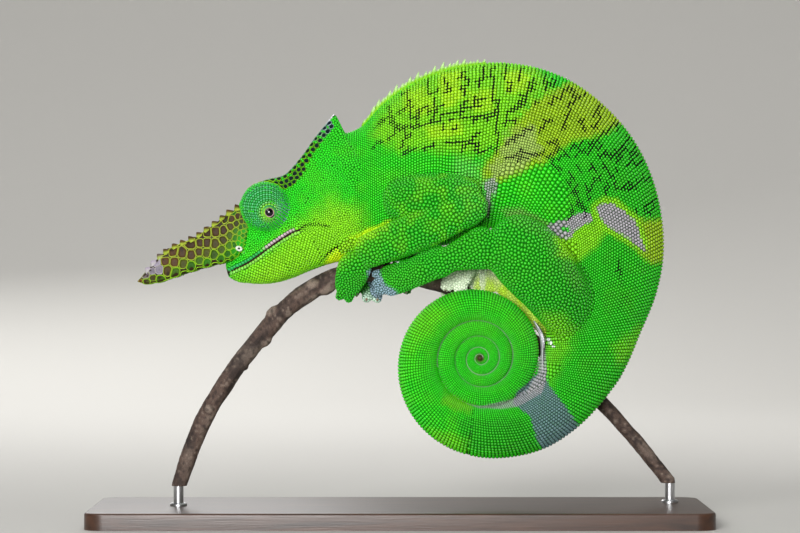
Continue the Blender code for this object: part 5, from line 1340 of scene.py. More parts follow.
def dome_faces(count, rings, sides):
    """The corners of the faces of so many domes in one row, and how many each face has."""
    i, top = np.arange(sides), (rings - 1) * sides
    caps = np.stack([top + i, top + (i + 1) % sides, np.full(sides, rings * sides)], axis=1)
    each = np.concatenate([ring_faces(rings, sides).ravel(), caps.ravel()])
    start = np.arange(count)[:, None] * (rings * sides + 1)
    return (start + each).ravel(), np.tile([4] * top + [3] * sides, count)


def scale_mesh(name, coat, ways, surface, tints, lights, furrow_and_shade):
    """Every scale of one piece of the coat as a small closed dome with a sunk rim, in one mesh."""
    (count, sides), angle = ways[0].shape, ways[3]
    # The kinds that one piece holds have the same number of rings.
    used, kind = np.unique(coat.kind, return_inverse=True)
    kinds = [list(KINDS.values())[k] for k in used]
    shares, heights, rim_shades, highlight_and_pale_shares = np.array([k[1] for k in kinds])[kind].transpose(2, 1, 0)
    tall = coat.size / 1.2
    middle, crown_highlight_and_pale = (np.array([k[field] for k in kinds])[kind] for field in (2, 3))
    corners, totals = dome_faces(count, len(shares), sides)
    mesh = large_mesh(name, domes(coat, ways, surface, shares, heights * tall, middle * tall), corners, totals)
    # Towards its rim each ring is darkened to the furrow colour, as painted shade. Towards the crown it is lightened,
    # as a painted highlight, but on the ridge and the casque the light colour is the pale of the crest and of the
    # plates' outlines.
    shades = [mix(mix(furrow_and_shade, tints, dark), lights, light) for dark, light in zip(rim_shades, highlight_and_pale_shares, strict=True)]
    paint(mesh, dome_tints(shades, mix(tints, lights, crown_highlight_and_pale), sides))
    around = np.stack([np.cos(angle), np.sin(angle)], axis=1)
    local = [share[:, None, None] * 0.0015 * around for share in shares] + [np.zeros((count, 1, 2))]
    patch = (coat.spot[:, None] * 0.99 + 0.005 + np.concatenate(local, axis=1)).reshape(-1, 2)
    mesh.uv_layers.new(name="OFBake").data.foreach_set("uv", patch[corners].astype(np.float32).ravel())
    return mesh


# Colours of the coat


def limb_tone(place, out, tone, colours, which):
    """Limbs: darker green, pale inside, and bluish soles; their pale crowns, a painted highlight, come with the scales.
    The far arm and hand are darkened as painted shade.
    """
    sides = np.array([np.sign(turned(rows, side)[0][1]) for rows, side, _, _ in LIMBS.values()])[np.maximum(which, 0)]
    pale = ((which >= 0) & (out[:, 1] * sides < 0)) * soft(-out[:, 1] * sides, 0.0, 0.5)
    far_leg = limbs_with(which, "thigh_right", "shin_right") & (place[:, 1] > 0)
    under = far_leg * soft(-out[:, 2] - 0.2 * out[:, 1], -0.1, 0.5)
    hind = soft(place[:, 0] + 0.8 * (74 - place[:, 2]), 24, 36)
    streaks = soft(noise(place * (1.0, 0.2, 0.3), 1.4, 23), -0.1, 0.5) * soft(place[:, 0], 17, 21)
    far_arm_shade = limbs_with(which, "arm_right", "hand_right")
    inwards = limbs_with(which, "inner") & ~far_arm_shade & (place[:, 2] < 78)
    flecks = np.clip(0.1 + 0.3 * noise(place, 2.4, 21), 0, 0.5) * soft(place[:, 0], -14, 4)
    for shade, share in (
        (colours.deep_green, (which >= 0) * 0.62), (colours.lime, limbs_with(which, "arm") * flecks),
        (colours.light_green, pale * ~far_leg * 0.6), (colours.belly, pale * far_leg * 0.95),
        (colours.belly, under * 0.9), (colours.fold_yellow, far_leg * np.maximum(pale, under) * hind * 0.85),
        (colours.fold_yellow, far_leg * np.maximum(pale, under) * streaks * 0.75),
        # The far arm and hand are darkened, as painted shade.
        (colours.deep_green * 0.6, far_arm_shade * 0.85), (colours.sole, inwards * 0.75 * soft(-place[:, 1], -4.5, -1.0)),
        (colours.belly, limbs_with(which, "foot_right") * 0.8),
    ):
        tone = mix(tone, shade, share)
    return tone


def tones(place, out, colours, which):
    """The colour of the coat at each place, and on which limb it is, or -1."""
    side = place[:, [0, 2]]
    patchy = noise(place, 9.0, 1) * 0.5 + noise(place, 3.5, 2) * 0.5
    tone = mix(colours.green, colours.lime, np.clip(0.03 + 0.22 * patchy, 0, 1))
    hind = soft(place[:, 0] - 0.35 * (place[:, 2] - 80), 30, 60)
    tone = mix(tone, colours.deep_green, 0.66 * hind * (0.7 + 0.3 * patchy))
    tone = limb_tone(place, out, tone, colours, which)
    rough = noise(place, 1.9, 3) * 0.6 + noise(place, 0.9, 4) * 0.4
    for name, edge, ragged, strength, outline in MARKINGS:
        low, high = np.min(outline, axis=0) - 5, np.max(outline, axis=0) + 5
        near = np.flatnonzero(((side > low) & (side < high)).all(axis=1))
        depth = depth_in(side[near], outline) + ragged * rough[near]
        held = np.where((which[near] < 0) | (name in ("lime", "sole_blue")), 1.0, 0.25)
        tone[near] = mix(tone[near], getattr(colours, name), strength * held * soft(depth, -edge, edge))
    return tone


def head_tone(place, tone, colours, kind):
    """Lips, the edge of the casque, the snout and the turrets."""
    u, v = to_head(place[:, 0], place[:, 2])
    edge = (kind == KIND["lip"]) & (v > 8)
    lip = (kind == KIND["lip"]) & ~edge
    upper = lip & (v > mouth_at(u))
    lid = np.isin(kind, LID_KINDS)
    away = np.hypot(place[:, 0] - TURRET_CENTRE[0] - LID_OFFSET[0], place[:, 2] - TURRET_CENTRE[1] - LID_OFFSET[1])
    bright = soft(place[:, 0], -38.5, -34) * soft(-np.abs(place[:, 2] - 91.5), -6, -1)
    for shade, share in (
        # The scales along the casque's edge are blue-grey, and turn white towards the top as a painted highlight.
        (colours.blue_grey, edge * 0.9), (colours.white, edge * soft(place[:, 2], 118, 121)),
        (colours.lip, upper * soft(13 - u, 0, 2.5) * soft(u, 0.5, 2.0)), (colours.teal, upper * soft(u, 12, 14) * 0.9),
        (colours.lip, (lip & ~upper) * 0.15), (colours.teal, lid * 0.92),
        (colours.lime, lid * soft(3.9 - away, 0, 1.6) * 0.75),
        (colours.deep_green * 0.8, lid * 0.35 * soft(noise(place * (1, 1, 1.3), 1.6, 14), -0.2, 0.6)),
        (rgb("#8CC8B4"), (kind == KIND["pale_lid"]) * 0.2), (rgb("#8FB7C8"), lid * bright * 0.4),
    ):
        tone = mix(tone, shade, share)
    return tone


def brightness(tone):
    """From 0 for a dark colour to 1 for a bright one."""
    return soft(tone @ (0.25, 0.7, 0.05), 0.42, 0.85)


# Materials


def add_node(tree, kind, settings=(), links=()):
    """A node with its settings, and with each of its inputs linked to (node, output)."""
    node = tree.nodes.new(kind)
    for name, value in dict(settings).items():
        if name in node.inputs:
            node.inputs[name].default_value = value
        else:
            setattr(node, name, value)
    for name, (source, output) in dict(links).items():
        tree.links.new(source.outputs[output], node.inputs[name])
    return node


def new_material(name, roughness, ior=1.5, metallic=0.0):
    material = bpy.data.materials.new(name)
    material.use_nodes = True
    tree = material.node_tree
    shader = tree.nodes["Principled BSDF"]
    shader.inputs["Roughness"].default_value = roughness
    shader.inputs["Metallic"].default_value = metallic
    if not metallic:
        shader.inputs["IOR"].default_value = ior
    return material, tree, shader


def join(tree, source, output, shader, name):
    tree.links.new(source.outputs[output], shader.inputs[name])


def tinted(name, roughness, ior, fine, mottle, strength, depth):
    """A material in the tint of its mesh, mottled and roughened by one fine noise."""
    material, tree, shader = new_material(name, roughness, ior)
    tint = add_node(tree, "ShaderNodeAttribute", {"attribute_name": "tint"})
    where = add_node(tree, "ShaderNodeTexCoord")
    fine = add_node(tree, "ShaderNodeTexNoise", fine, {"Vector": (where, "Object")})
    spread = zip(("From Min", "From Max", "To Min", "To Max"), mottle, strict=True)
    mottle = add_node(tree, "ShaderNodeMapRange", spread, {"Value": (fine, "Fac")})
    shade = add_node(tree, "ShaderNodeVectorMath", {"operation": "SCALE"}, {"Scale": (mottle, "Result")})
    tree.links.new(tint.outputs["Color"], shade.inputs[0])
    join(tree, shade, "Vector", shader, "Base Color")
    bump = add_node(tree, "ShaderNodeBump", {"Strength": strength, "Distance": depth * MM}, {"Height": (fine, "Fac")})
    join(tree, bump, "Normal", shader, "Normal")
    return material


def scaly_skin(name, roughness, grain, strength, ior=1.52, gloss=0.35):
    """Beta-keratin scales over living skin: satin, with a fine grain that breaks up the highlights."""
    # A real scale's sculpture is far finer, at about 0.02 mm. This is drawn at the size given, so that it shows.
    fine = {"Scale": 1 / (grain * MM), "Detail": 3.0, "Roughness": 0.6}
    material = tinted(name, roughness, ior, fine, (0.25, 0.75, 0.82, 1.12), strength, 0.05)
    material.node_tree.nodes["Principled BSDF"].inputs["Specular IOR Level"].default_value = gloss
    return material


def bark_finish():
    """Dry, thin bark: matt and fibrous, with no gloss."""
    # Lenticels and lichen specks of 0.4 mm over fibres of 0.15 mm.
    fine = {"Scale": 2400.0, "Detail": 4.0, "Roughness": 0.7}
    return tinted("dry_bark", 0.85, 1.45, fine, (0.3, 0.7, 0.6, 1.35), 0.6, 0.12)


def wood_finish(colours):
    """Walnut, planed and oiled: dark, with fine open grain along the board and a soft sheen."""
    material, tree, shader = new_material("oiled_walnut", 0.38, 1.5)
    where = add_node(tree, "ShaderNodeTexCoord")
    turn = add_node(tree, "ShaderNodeMapping", {"Scale": (3.0, 40.0, 40.0)}, {"Vector": (where, "Object")})
    # Growth rings cut along the board, 2 to 4 mm apart.
    grain = add_node(tree, "ShaderNodeTexNoise", {"Scale": 9.0, "Detail": 6.0, "Roughness": 0.62, "Distortion": 0.6},
                     {"Vector": (turn, "Vector")})
    # Pores, 0.3 mm wide and some 8 mm long.
    pores_at = add_node(tree, "ShaderNodeMapping", {"Scale": (120.0, 3200.0, 3200.0)}, {"Vector": (where, "Object")})
    pores = add_node(tree, "ShaderNodeTexNoise", {"Scale": 1.0, "Detail": 2.0}, {"Vector": (pores_at, "Vector")})
    ramp = add_node(tree, "ShaderNodeValToRGB", {}, {"Fac": (grain, "Fac")})
    ramp.color_ramp.elements[0].position, ramp.color_ramp.elements[1].position = 0.3, 0.75
    base = np.array(colours.walnut)
    ramp.color_ramp.elements[0].color = (*(base * 0.45), 1)
    ramp.color_ramp.elements[1].color = (*(base * 1.7), 1)
    join(tree, ramp, "Color", shader, "Base Color")
    bump = add_node(tree, "ShaderNodeBump", {"Strength": 0.25, "Distance": 0.1 * MM}, {"Height": (pores, "Fac")})
    join(tree, bump, "Normal", shader, "Normal")
    return material


def rod_finish():
    """Stainless steel rod, brushed round its length: bright, with a soft streak."""
    material, tree, shader = new_material("brushed_steel", 0.3, metallic=1.0)
    shader.inputs["Base Color"].default_value = (*rgb("#B9BABC"), 1)
    where = add_node(tree, "ShaderNodeTexCoord")
    turn = add_node(tree, "ShaderNodeMapping", {"Scale": (300.0, 300.0, 6000.0)}, {"Vector": (where, "Object")})
    lines = add_node(tree, "ShaderNodeTexNoise", {"Scale": 1.0, "Detail": 2.0}, {"Vector": (turn, "Vector")})
    bump = add_node(tree, "ShaderNodeBump", {"Strength": 0.2, "Distance": 0.02 * MM}, {"Height": (lines, "Fac")})
    join(tree, bump, "Normal", shader, "Normal")
    return material


# Pieces that stand on the body


def spike(line, radii, count, along=(1.0, 0.3, 0.2)):
    """A pointed body along a line of points."""
    return closed_body(limb_rings(np.column_stack([line, radii, radii]), count, 0.0, along), (False, True))


def make_crest(colours):
    """The spines of the nape and the shoulders, with small ones between the large."""
    bodies = []
    stations = np.linspace(SPINE_FROM, SPINE_TO, SPINE_COUNT)
    t = np.linspace(0, 1, 7)[:, None]
    for places, base in ((stations, SPINE_HEIGHTS), ((stations[:-1] + stations[1:]) / 2, SMALL_SPINE_HEIGHTS)):
        for i, station in enumerate(places):
            back, _, up = ends_of(body_rows([station])[0])
            along = np.array([up[2], 0, -up[0]])
            fade = min(1.0, 0.5 + 0.25 * i, 0.3 + 0.12 * (SPINE_COUNT - i))
            height = base[i % len(base)] * fade
            line = back - up * 1.0 + up * (height + 1.0) * t + along * height * SPINE_LEAN * t**2
            points, faces = spike(line, 1.0 * (0.75 + 0.25 * fade) * (1 - t[:, 0]) ** 0.8 + 0.05, 10)
            share = soft((points - back) @ up, -0.2, height * 0.55)
            bodies.append((points, faces, mix(colours.lime * 0.75, colours.crest, share)))
    return painted_mesh("crest", bodies)


def make_folds(colours):
    """The pale folds of loose skin by the vent, between the thigh and the tail."""
    bodies = []
    for rows in VENT_FOLDS:
        points, faces = closed_body(limb_rings(resample(rows, np.linspace(0, 1, 24)), 20), (True, True))
        bodies.append((points, faces, mix(colours.white, colours.lilac, 0.5 + 0.5 * noise(points, 0.9, 7))))
    return painted_mesh("vent_folds", bodies)


def make_tail_tip(colours):
    """The tip of the tail, which closes the middle of the coil."""
    x, z = COIL_CENTRE
    rows = [(x, y, z, reach, reach) for y, reach in TAIL_TIP]
    body = closed_body(limb_rings(rows, 20, 0.0, (1, 0, 0)), (True, True))
    # Its brown is darkened half way to black, as painted shade of the hollow in the middle of the coil.
    return painted_mesh("coil_middle", [(*body, mix(colours.horn_brown, colours.black, 0.5))])


def make_claws(colours, sizes):
    bodies, reach = [], sizes.claw_length / MM
    t = np.linspace(0, 1, 9)[:, None]
    for name in LIMBS:
        for _, tip, _, width, ahead, inwards in toes_of(name):
            root = tip - ahead * 0.7 + inwards * width * 0.2
            line = root + ahead * reach * (0.36 + 0.95 * t - 0.35 * t**2) + inwards * reach * 0.8 * t**1.8
            line -= ahead * reach * 0.36
            points, faces = spike(line, CLAW_RADIUS * 1.05 * (1 - t[:, 0]) ** 0.7 + 0.05, 12)
            share = soft((points - root) @ ahead, 0.2, reach * 0.9)
            bodies.append((points, faces, mix(colours.belly * 0.6, colours.claw, share)))
    return painted_mesh("claws", bodies)


def make_eye(side):
    """The ball behind the lid, with its pupil and iris."""
    x, y, z = gaze(side)
    radius, turn = 2.6, circle(48)
    rings = []
    for a in np.radians(np.concatenate([np.linspace(1.5, 60, 30), [75, 95, 120]])):
        r, out = radius * math.sin(a), radius * math.cos(a) - radius - 0.1
        rings.append(np.column_stack([x + r * np.cos(turn), np.full(48, y + side * out), z + r * np.sin(turn)]))
    points, faces = closed_body(rings)
    away = np.hypot(points[:, 0] - x, points[:, 2] - z)
    tint = mix(rgb("#050306"), rgb("#A88A92"), soft(away, 1.16, 1.22) * soft(1.44 - away, 0, 0.08))
    return points, faces, mix(tint, rgb("#1A1114"), soft(away, 1.36, 1.44) * 0.9)


def make_lid(side, colours):
    """The rim of skin round the opening of a turret, in two fine beads."""
    centre = gaze(side)
    bodies, turn = [], circle(60)
    radial = np.column_stack([np.cos(turn), 0 * turn, np.sin(turn)])
    for radius, thick, tone in ((LID_RADIUS + 0.1, 0.23, colours.lime), (LID_RADIUS + 0.48, 0.26, colours.teal)):
        x, z = centre[0] + radius * np.cos(turn), centre[2] + radius * np.sin(turn)
        y = side * turret_out(x - TURRET_CENTRE[0], z - TURRET_CENTRE[1], -0.38)
        points, faces = bead(np.column_stack([x, y, z]), radial, (0, side, 0), thick)
        low = soft(-(points[:, 2] - centre[2]) - 0.6 * (points[:, 0] - centre[0]), -1.2, 1.6)
        tone = mix(mix(tone, colours.teal * 0.6, 0.5 * (1 - low)), colours.lime, low * 0.5)
        bodies.append((points, faces, tone * (0.8 + 0.3 * noise(points, 0.5, 5))[:, None]))
    return bodies


def horn_rings(side):
    """The bare blade of a horn, a little inside the tops of its plates."""
    rows = np.asarray(HORN, float)
    middles = np.stack([(rows[:, 0] + rows[:, 2]) / 2, rows[:, 4], (rows[:, 1] + rows[:, 3]) / 2], axis=1)
    rings, turn = [], circle(48)
    for row in resample(np.concatenate([middles, rows], axis=1), np.linspace(0, 1, 70))[:, 3:]:
        top, low, up = ends_of(row)
        top, low = top - up * HORN_SUNK, low + up * HORN_SUNK
        across = np.sign(np.sin(turn)) * np.abs(np.sin(turn)) ** 0.75 * max(row[5] - HORN_SUNK * 0.8, 0.2)
        ring = (top + low) / 2 + np.outer(np.cos(turn), (top - low) / 2)
        ring[:, 1] += side * row[4] + across
        rings.append(ring)
    return np.array(rings)


# A plate of a horn: rings of (share of its radius, height, how pale), and the height at its middle. Its pale
# border stands up round a darker, hollow middle.
PLATE_RINGS = [(1.0, -0.05, 0.5), (0.955, 0.2, 1.0), (0.88, 0.18, 0.5), (0.78, 0.04, 0.0), (0.4, 0.02, 0.0)]
PLATE_MIDDLE = 0.05
PLATE_FULL = 2.2  # the width of a plate that has these heights in mm


def horn_teeth(side, rings, colours):
    """The upright plates of the upper edge. Each leans towards the tip of the horn."""
    edge, turn = rings[:, 0], circle(12)
    run, steps = run_of(edge), np.arange(len(edge))
    bodies = []
    rng = np.random.default_rng(31 + side)
    for at in np.arange(4.2, run[-1] - 3.0, 2.75):
        at = at + rng.uniform(-0.25, 0.25)
        k = np.interp(at, run, steps)
        foot = read_off(k, steps, edge)
        up = unit(foot - rings[int(k), rings.shape[1] // 2])
        ahead = unit(edge[min(int(k) + 2, len(edge) - 1)] - edge[max(int(k) - 2, 0)])
        high = (1.7 - 0.5 * at / run[-1]) * rng.uniform(0.8, 1.15)
        rows = []
        for share in np.linspace(0, 1, 7):
            middle = foot - up * 0.7 + up * (0.7 + high) * share + ahead * high * 0.85 * share**1.4
            long, thick = 1.55 * (1 - share) ** 0.8 + 0.08, 0.85 * (1 - share) ** 0.6 + 0.06
            rows.append(middle + np.outer(np.cos(turn) * long, ahead) + np.outer(np.sin(turn) * thick, (0, 1, 0)))
        points, faces = closed_body(rows, (False, True))
        share = soft((points - foot) @ up, -0.5, high * 0.35)
        shade = mix(colours.horn_rim * 0.7, colours.horn_brown * rng.uniform(0.6, 1.1), share)
        bodies.append((points, faces, mix(shade, colours.horn_tip, soft(at / run[-1], 0.74, 0.8) * 0.8)))
    return bodies


def plate_tones(u, up, colours, rng):
    """The middles and the borders of a horn's plates, by how far along the horn and how high they are."""
    tip = soft(u, 0.74, 0.8) * soft(0.95 - u, 0, 0.06) * soft(up, 0.3, 0.5)
    core = colours.horn_green
    for shade, share in (
        (colours.horn_olive, soft(up, 0.1, 0.4)), (colours.horn_brown, soft(up + 0.25 * u, 0.4, 0.7)),
        (colours.green * 0.8, soft(0.22 - u, 0, 0.2) * soft(0.8 - up, 0, 0.4)),
        (rgb("#6A3E14"), soft(u, 0.5, 0.75) * 0.35), (colours.horn_tip, tip),
        (rgb("#A85E26"), soft(u, 0.93, 0.98) * 0.9),
    ):
        core = mix(core, shade, share)
    border = mix(colours.horn_rim, colours.lime, soft(0.5 - up, 0, 0.35) * 0.7)
    return core * rng.uniform(0.3, 0.7, (len(u), 1)), mix(border, colours.horn_tip, tip * 0.85)


def make_horn(side, colours, sizes):
    """Plates in slanting rows over both faces of a horn. They are small and green where it grows from the snout."""
    rings = horn_rings(side)
    run = run_of((rings[:, 0] + rings[:, rings.shape[1] // 2]) / 2)
    last = len(run) - 1
    rng = np.random.default_rng(21 + side)
    rows, at, course = [], 0.3, 0
    while at < run[-1] - 0.6:
        pitch = sizes.horn_plate / MM * (0.42 + 0.58 * soft(at, 0.0, 9.0)) * (1 - 0.3 * soft(at, 26.0, 34.0))
        k = np.interp(at, run, np.arange(len(run)))
        low, high = int(k), min(int(k) + 1, last)
        ring = rings[low] * (1 - k % 1) + rings[high] * (k % 1)
        ahead = unit(rings[min(low + 2, last)].mean(axis=0) - rings[max(low - 2, 0)].mean(axis=0))
        loop = np.concatenate([ring, ring[:1]])
        around = run_of(loop)
        number = max(4, 2 * round(around[-1] / pitch / 2))
        for i in range(number):
            s = ((i + 0.5 * (course % 2) + rng.uniform(-0.12, 0.12)) / number % 1.0) * around[-1]
            place = read_off(s, around, loop) + ahead * rng.uniform(-0.12, 0.12) * pitch
            edge = s / around[-1]
            rows.append((place, ahead, around[-1] / number, (at / run[-1], 1 - 2 * min(edge, 1 - edge))))
        at += pitch * 0.86
        course += 1
    place, along, size, spot = (np.array(row) for row in zip(*rows, strict=True))
    points, faces = closed_body(rings, (False, True))
    surface = Surface(points, triangulated(faces))
    plates = Coat(place, along, size, 0, spot, 0)
    plates = plates.kept(np.hypot(place[:, 0] - NOSTRIL[0], place[:, 2] - NOSTRIL[1]) > NOSTRIL_RADIUS + 0.55)
    plates.settle(surface)
    sides = 18
    radius, *ways = half_ways(plates, sides)
    core, border = plate_tones(*plates.spot.T, colours, rng)
    shares, heights, pales = (np.array(row)[:, None] for row in zip(*PLATE_RINGS, strict=True))
    lifts, crown = heights * plates.size / PLATE_FULL, PLATE_MIDDLE * plates.size / PLATE_FULL
    shape = domes(plates, (radius * 0.985, *ways), surface, shares, lifts, crown, 2.8)
    tint = [mix(core, border * (1.0 if r else 0.6), pale[0]) for r, pale in enumerate(pales)]
    corners, totals = dome_faces(len(crown), len(PLATE_RINGS), sides)
    plate_faces = [face.tolist() for face in np.split(corners, np.cumsum(totals)[:-1])]
    blade = mix(colours.horn_brown * 0.3, colours.deep_green * 0.4, soft(0.3 - (-44.0 - points[:, 0]) / 34.0, 0, 0.2))
    return [(points, faces, blade), (shape, plate_faces, dome_tints(tint, core * 0.7, sides)),
            *horn_teeth(side, rings, colours)]


def make_nostrils():
    """The nostrils: a pale, raised rim round a dark hole, on the side of the snout under each horn."""
    bodies, turn = [], circle(32)
    for side in SIDES.values():
        points, faces = closed_body(horn_rings(side), (False, True))
        foot, out, _ = Surface(points, triangulated(faces)).nearest([(NOSTRIL[0], side * 7.5, NOSTRIL[1])], 5.0)
        foot, out = foot[0], out[0] * math.copysign(1.0, out[0][1] * side)
        one = unit(np.cross(out, (0.3, 0.0, 1.0)))
        ways = np.outer(np.cos(turn), one), np.outer(np.sin(turn), np.cross(out, one))
        radial = ways[0] * 1.15 + ways[1] * 0.85
        bodies.append((*bead(foot + radial * NOSTRIL_RADIUS + out * 0.12, radial, out, 0.34), rgb("#C4C8BE")))
        # The hole is a shallow dish, painted near-black as the shade of a deep opening.
        hole = [foot + out * 0.1 + (ways[0] + ways[1]) * r - out * deep
                for r, deep in ((NOSTRIL_RADIUS, 0.0), (0.3, 0.12), (0.1, 0.15))]
        bodies.append((*closed_body(hole), rgb("#14100E")))
    return painted_mesh("nostrils", bodies)


# The branch and the stand


def make_branch(colours):
    """The bark of the whole branch: lengthwise ridges, bud scars, and level cuts at both ends."""
    count, sides = 620, 34
    places = np.linspace(0, 1, count)
    rows = resample(BRANCH, places)
    after, before = (resample(BRANCH, np.clip(places + step, 0, 1))[:, :3] for step in (0.004, -0.004))
    ahead = unit(after - before)
    rings = limb_rings(rows, sides, 0.0, None, ahead)
    turn, every = circle(sides), rings.reshape(-1, 3)
    along = (places[:, None] * 210 / 9, np.cos(turn) * 1.6, np.sin(turn) * 1.6)
    wave = np.stack([np.broadcast_to(way, rings.shape[:2]) for way in along], axis=2).reshape(-1, 3)
    ridges = noise(wave, 1.0, 6) * 0.16 + noise(wave * (2.2, 2.6, 2.6), 1.0, 7) * 0.1
    lift = (ridges + (noise(every, 5.5, 8) * 0.18 + noise(every, 1.1, 9) * 0.06)).reshape(rings.shape[:2])
    for share, degrees, size in KNOTS:
        row, angle = int(share * (count - 1)), math.radians(degrees)
        deep, wide = frame_of(ahead[row], None)
        middle = rows[row, :3] + (deep * math.cos(angle) - wide * math.sin(angle)) * rows[row, 3]
        away = np.linalg.norm(rings - middle, axis=2) / size
        lift += size * (0.75 * np.exp(-((away / 0.95) ** 2)) - 0.45 * np.exp(-((away / 0.42) ** 2)))
        lift -= 0.12 * np.exp(-(((away - 1.7) / 0.35) ** 2))
    grown = rings + unit(rings - rows[:, None, :3]) * lift[..., None]
    for end in (grown[:6], grown[-6:]):
        end[..., 2] = np.maximum(end[..., 2], CUT_HEIGHT)
    grown[0, :, 2] = grown[-1, :, 2] = CUT_HEIGHT
    points, faces = closed_body(grown)
    lift = np.concatenate([lift.ravel(), [0, 0]])
    cloudy, fleck, tint = noise(points, 7.0, 10), noise(points, 0.8, 11), colours.bark
    for shade, share in (
        (colours.bark_dark, soft(-lift, -0.05, 0.22) * 0.85), (colours.bark_pale, soft(lift, 0.12, 0.4) * 0.8),
        (colours.bark_pale, soft(cloudy, 0.1, 0.8) * 0.5), (colours.bark_dark, soft(-cloudy, 0.2, 0.9) * 0.45),
        (colours.bark_dark, soft(-fleck, 0.15, 0.6) * 0.7), (colours.bark_pale, soft(fleck, 0.3, 0.8) * 0.6),
    ):
        tint = mix(tint, shade, share)
    return painted_mesh("branch", [(points, faces, tint)])


def make_slab(name, half_length, half_width, high, corner, edge):
    """A flat board with round corners and softened edges, which stands on the ground."""
    shape = bmesh.new()
    outline = []
    for x, y, start in ((1, 1, 0), (-1, 1, 90), (-1, -1, 180), (1, -1, 270)):
        for angle in np.radians(start + 7.5 * np.arange(13)):
            outline.append(((x * (half_length - corner) + corner * math.cos(angle)) * MM,
                            (y * (half_width - corner) + corner * math.sin(angle)) * MM))
    face = shape.faces.new([shape.verts.new((x, y, 0.0)) for x, y in outline])
    raised = bmesh.ops.extrude_face_region(shape, geom=[face])["geom"]
    top = [v for v in raised if isinstance(v, bmesh.types.BMVert)]
    bmesh.ops.translate(shape, vec=(0, 0, high * MM), verts=top)
    bmesh.ops.recalc_face_normals(shape, faces=shape.faces)
    flat = [e for e in shape.edges if abs(e.verts[0].co.z - e.verts[1].co.z) < 1e-7 and e.verts[0].co.z > 1e-6]
    bmesh.ops.bevel(shape, geom=flat, offset=edge * MM, segments=4, profile=0.6, affect="EDGES", clamp_overlap=True)
    mesh = bpy.data.meshes.new(name)
    shape.to_mesh(mesh)
    shape.free()
    return mesh


# Operators


def palette(scene):
    """The palette as arrays, in linear light."""
    return types.SimpleNamespace(**{name: np.array(getattr(scene.chameleon_colours, name)) for name in PALETTE})


WORK = {}


class MESH_OT_chameleon_skin(bpy.types.Operator):
    """One bare skin under all the scales, from the snout to the tip of the tail"""

    bl_idname = "mesh.chameleon_skin"
    bl_label = "Skin"

    def execute(self, context):
        sizes, colours = context.scene.chameleon_sizes, palette(context.scene)
        mesh, surface, body = make_skin(sizes)
        coat, place, lookup = body_scales(sizes)
        lines, widths = crack_points(place, lookup)
        lines, widths = np.concatenate([lines, lines * (1, -1, 1)]), np.tile(widths, 2)
        points = surface.points
        which, _, _, off = limb_share(points)
        which = np.where(off < LIMB_REACH, which, -1)
        tone = tones(points, surface.normals, colours, which)
        # The bare skin shows only in the furrows between the scales. It is painted darker than the coat there: partly
        # the skin's own colour, and partly painted shade of the furrows.
        tone = mix(mix(colours.furrow, tone * 0.35, np.full(len(tone), 0.4)), tone * 0.6, brightness(tone))
        tree = tree_of(lines)
        x, z = points[:, 0], points[:, 2]
        for i in np.flatnonzero((x > -14) & (z > 60) & (which < 0)):
            if tree.find(points[i])[2] < 0.55:
                tone[i] = colours.black
        # The slits are painted black, as the shade inside them.
        for line, half, _ in SLITS:
            tone[(line_distance(points[:, [0, 2]], line) < half * 1.3) & (points[:, 1] < -6)] = colours.black
        for side in SIDES.values():
            # The pit round each eyeball and the skin just round its lid are painted near-black, as shade. The rim of
            # each nostril is pale, and its hole is painted black, as shade.
            tone[np.linalg.norm(points - gaze(side), axis=1) < LID_RADIUS + 1.2] = rgb("#1A0F12")
            tone[nostril_off(points, side) < 1.4] = rgb("#9FB08C")
            tone[nostril_off(points, side, (0.2, -0.25)) < 0.55] = colours.black
        u, v = to_head(x, z)
        tone[(np.abs(v - mouth_at(u)) < 0.5) & (u > -2.5) & (x < MOUTH_BACK)] = rgb("#2A1A14")
        paint(mesh, tone)
        place_piece("skin", mesh, scaly_skin("bare_skin", 0.85, 0.3, 0.4, 1.4, 0.2), FLESH_NODES)
        WORK.update(surface=surface, body=body, coat=coat, cracked=(lines, widths))
        return {"FINISHED"}


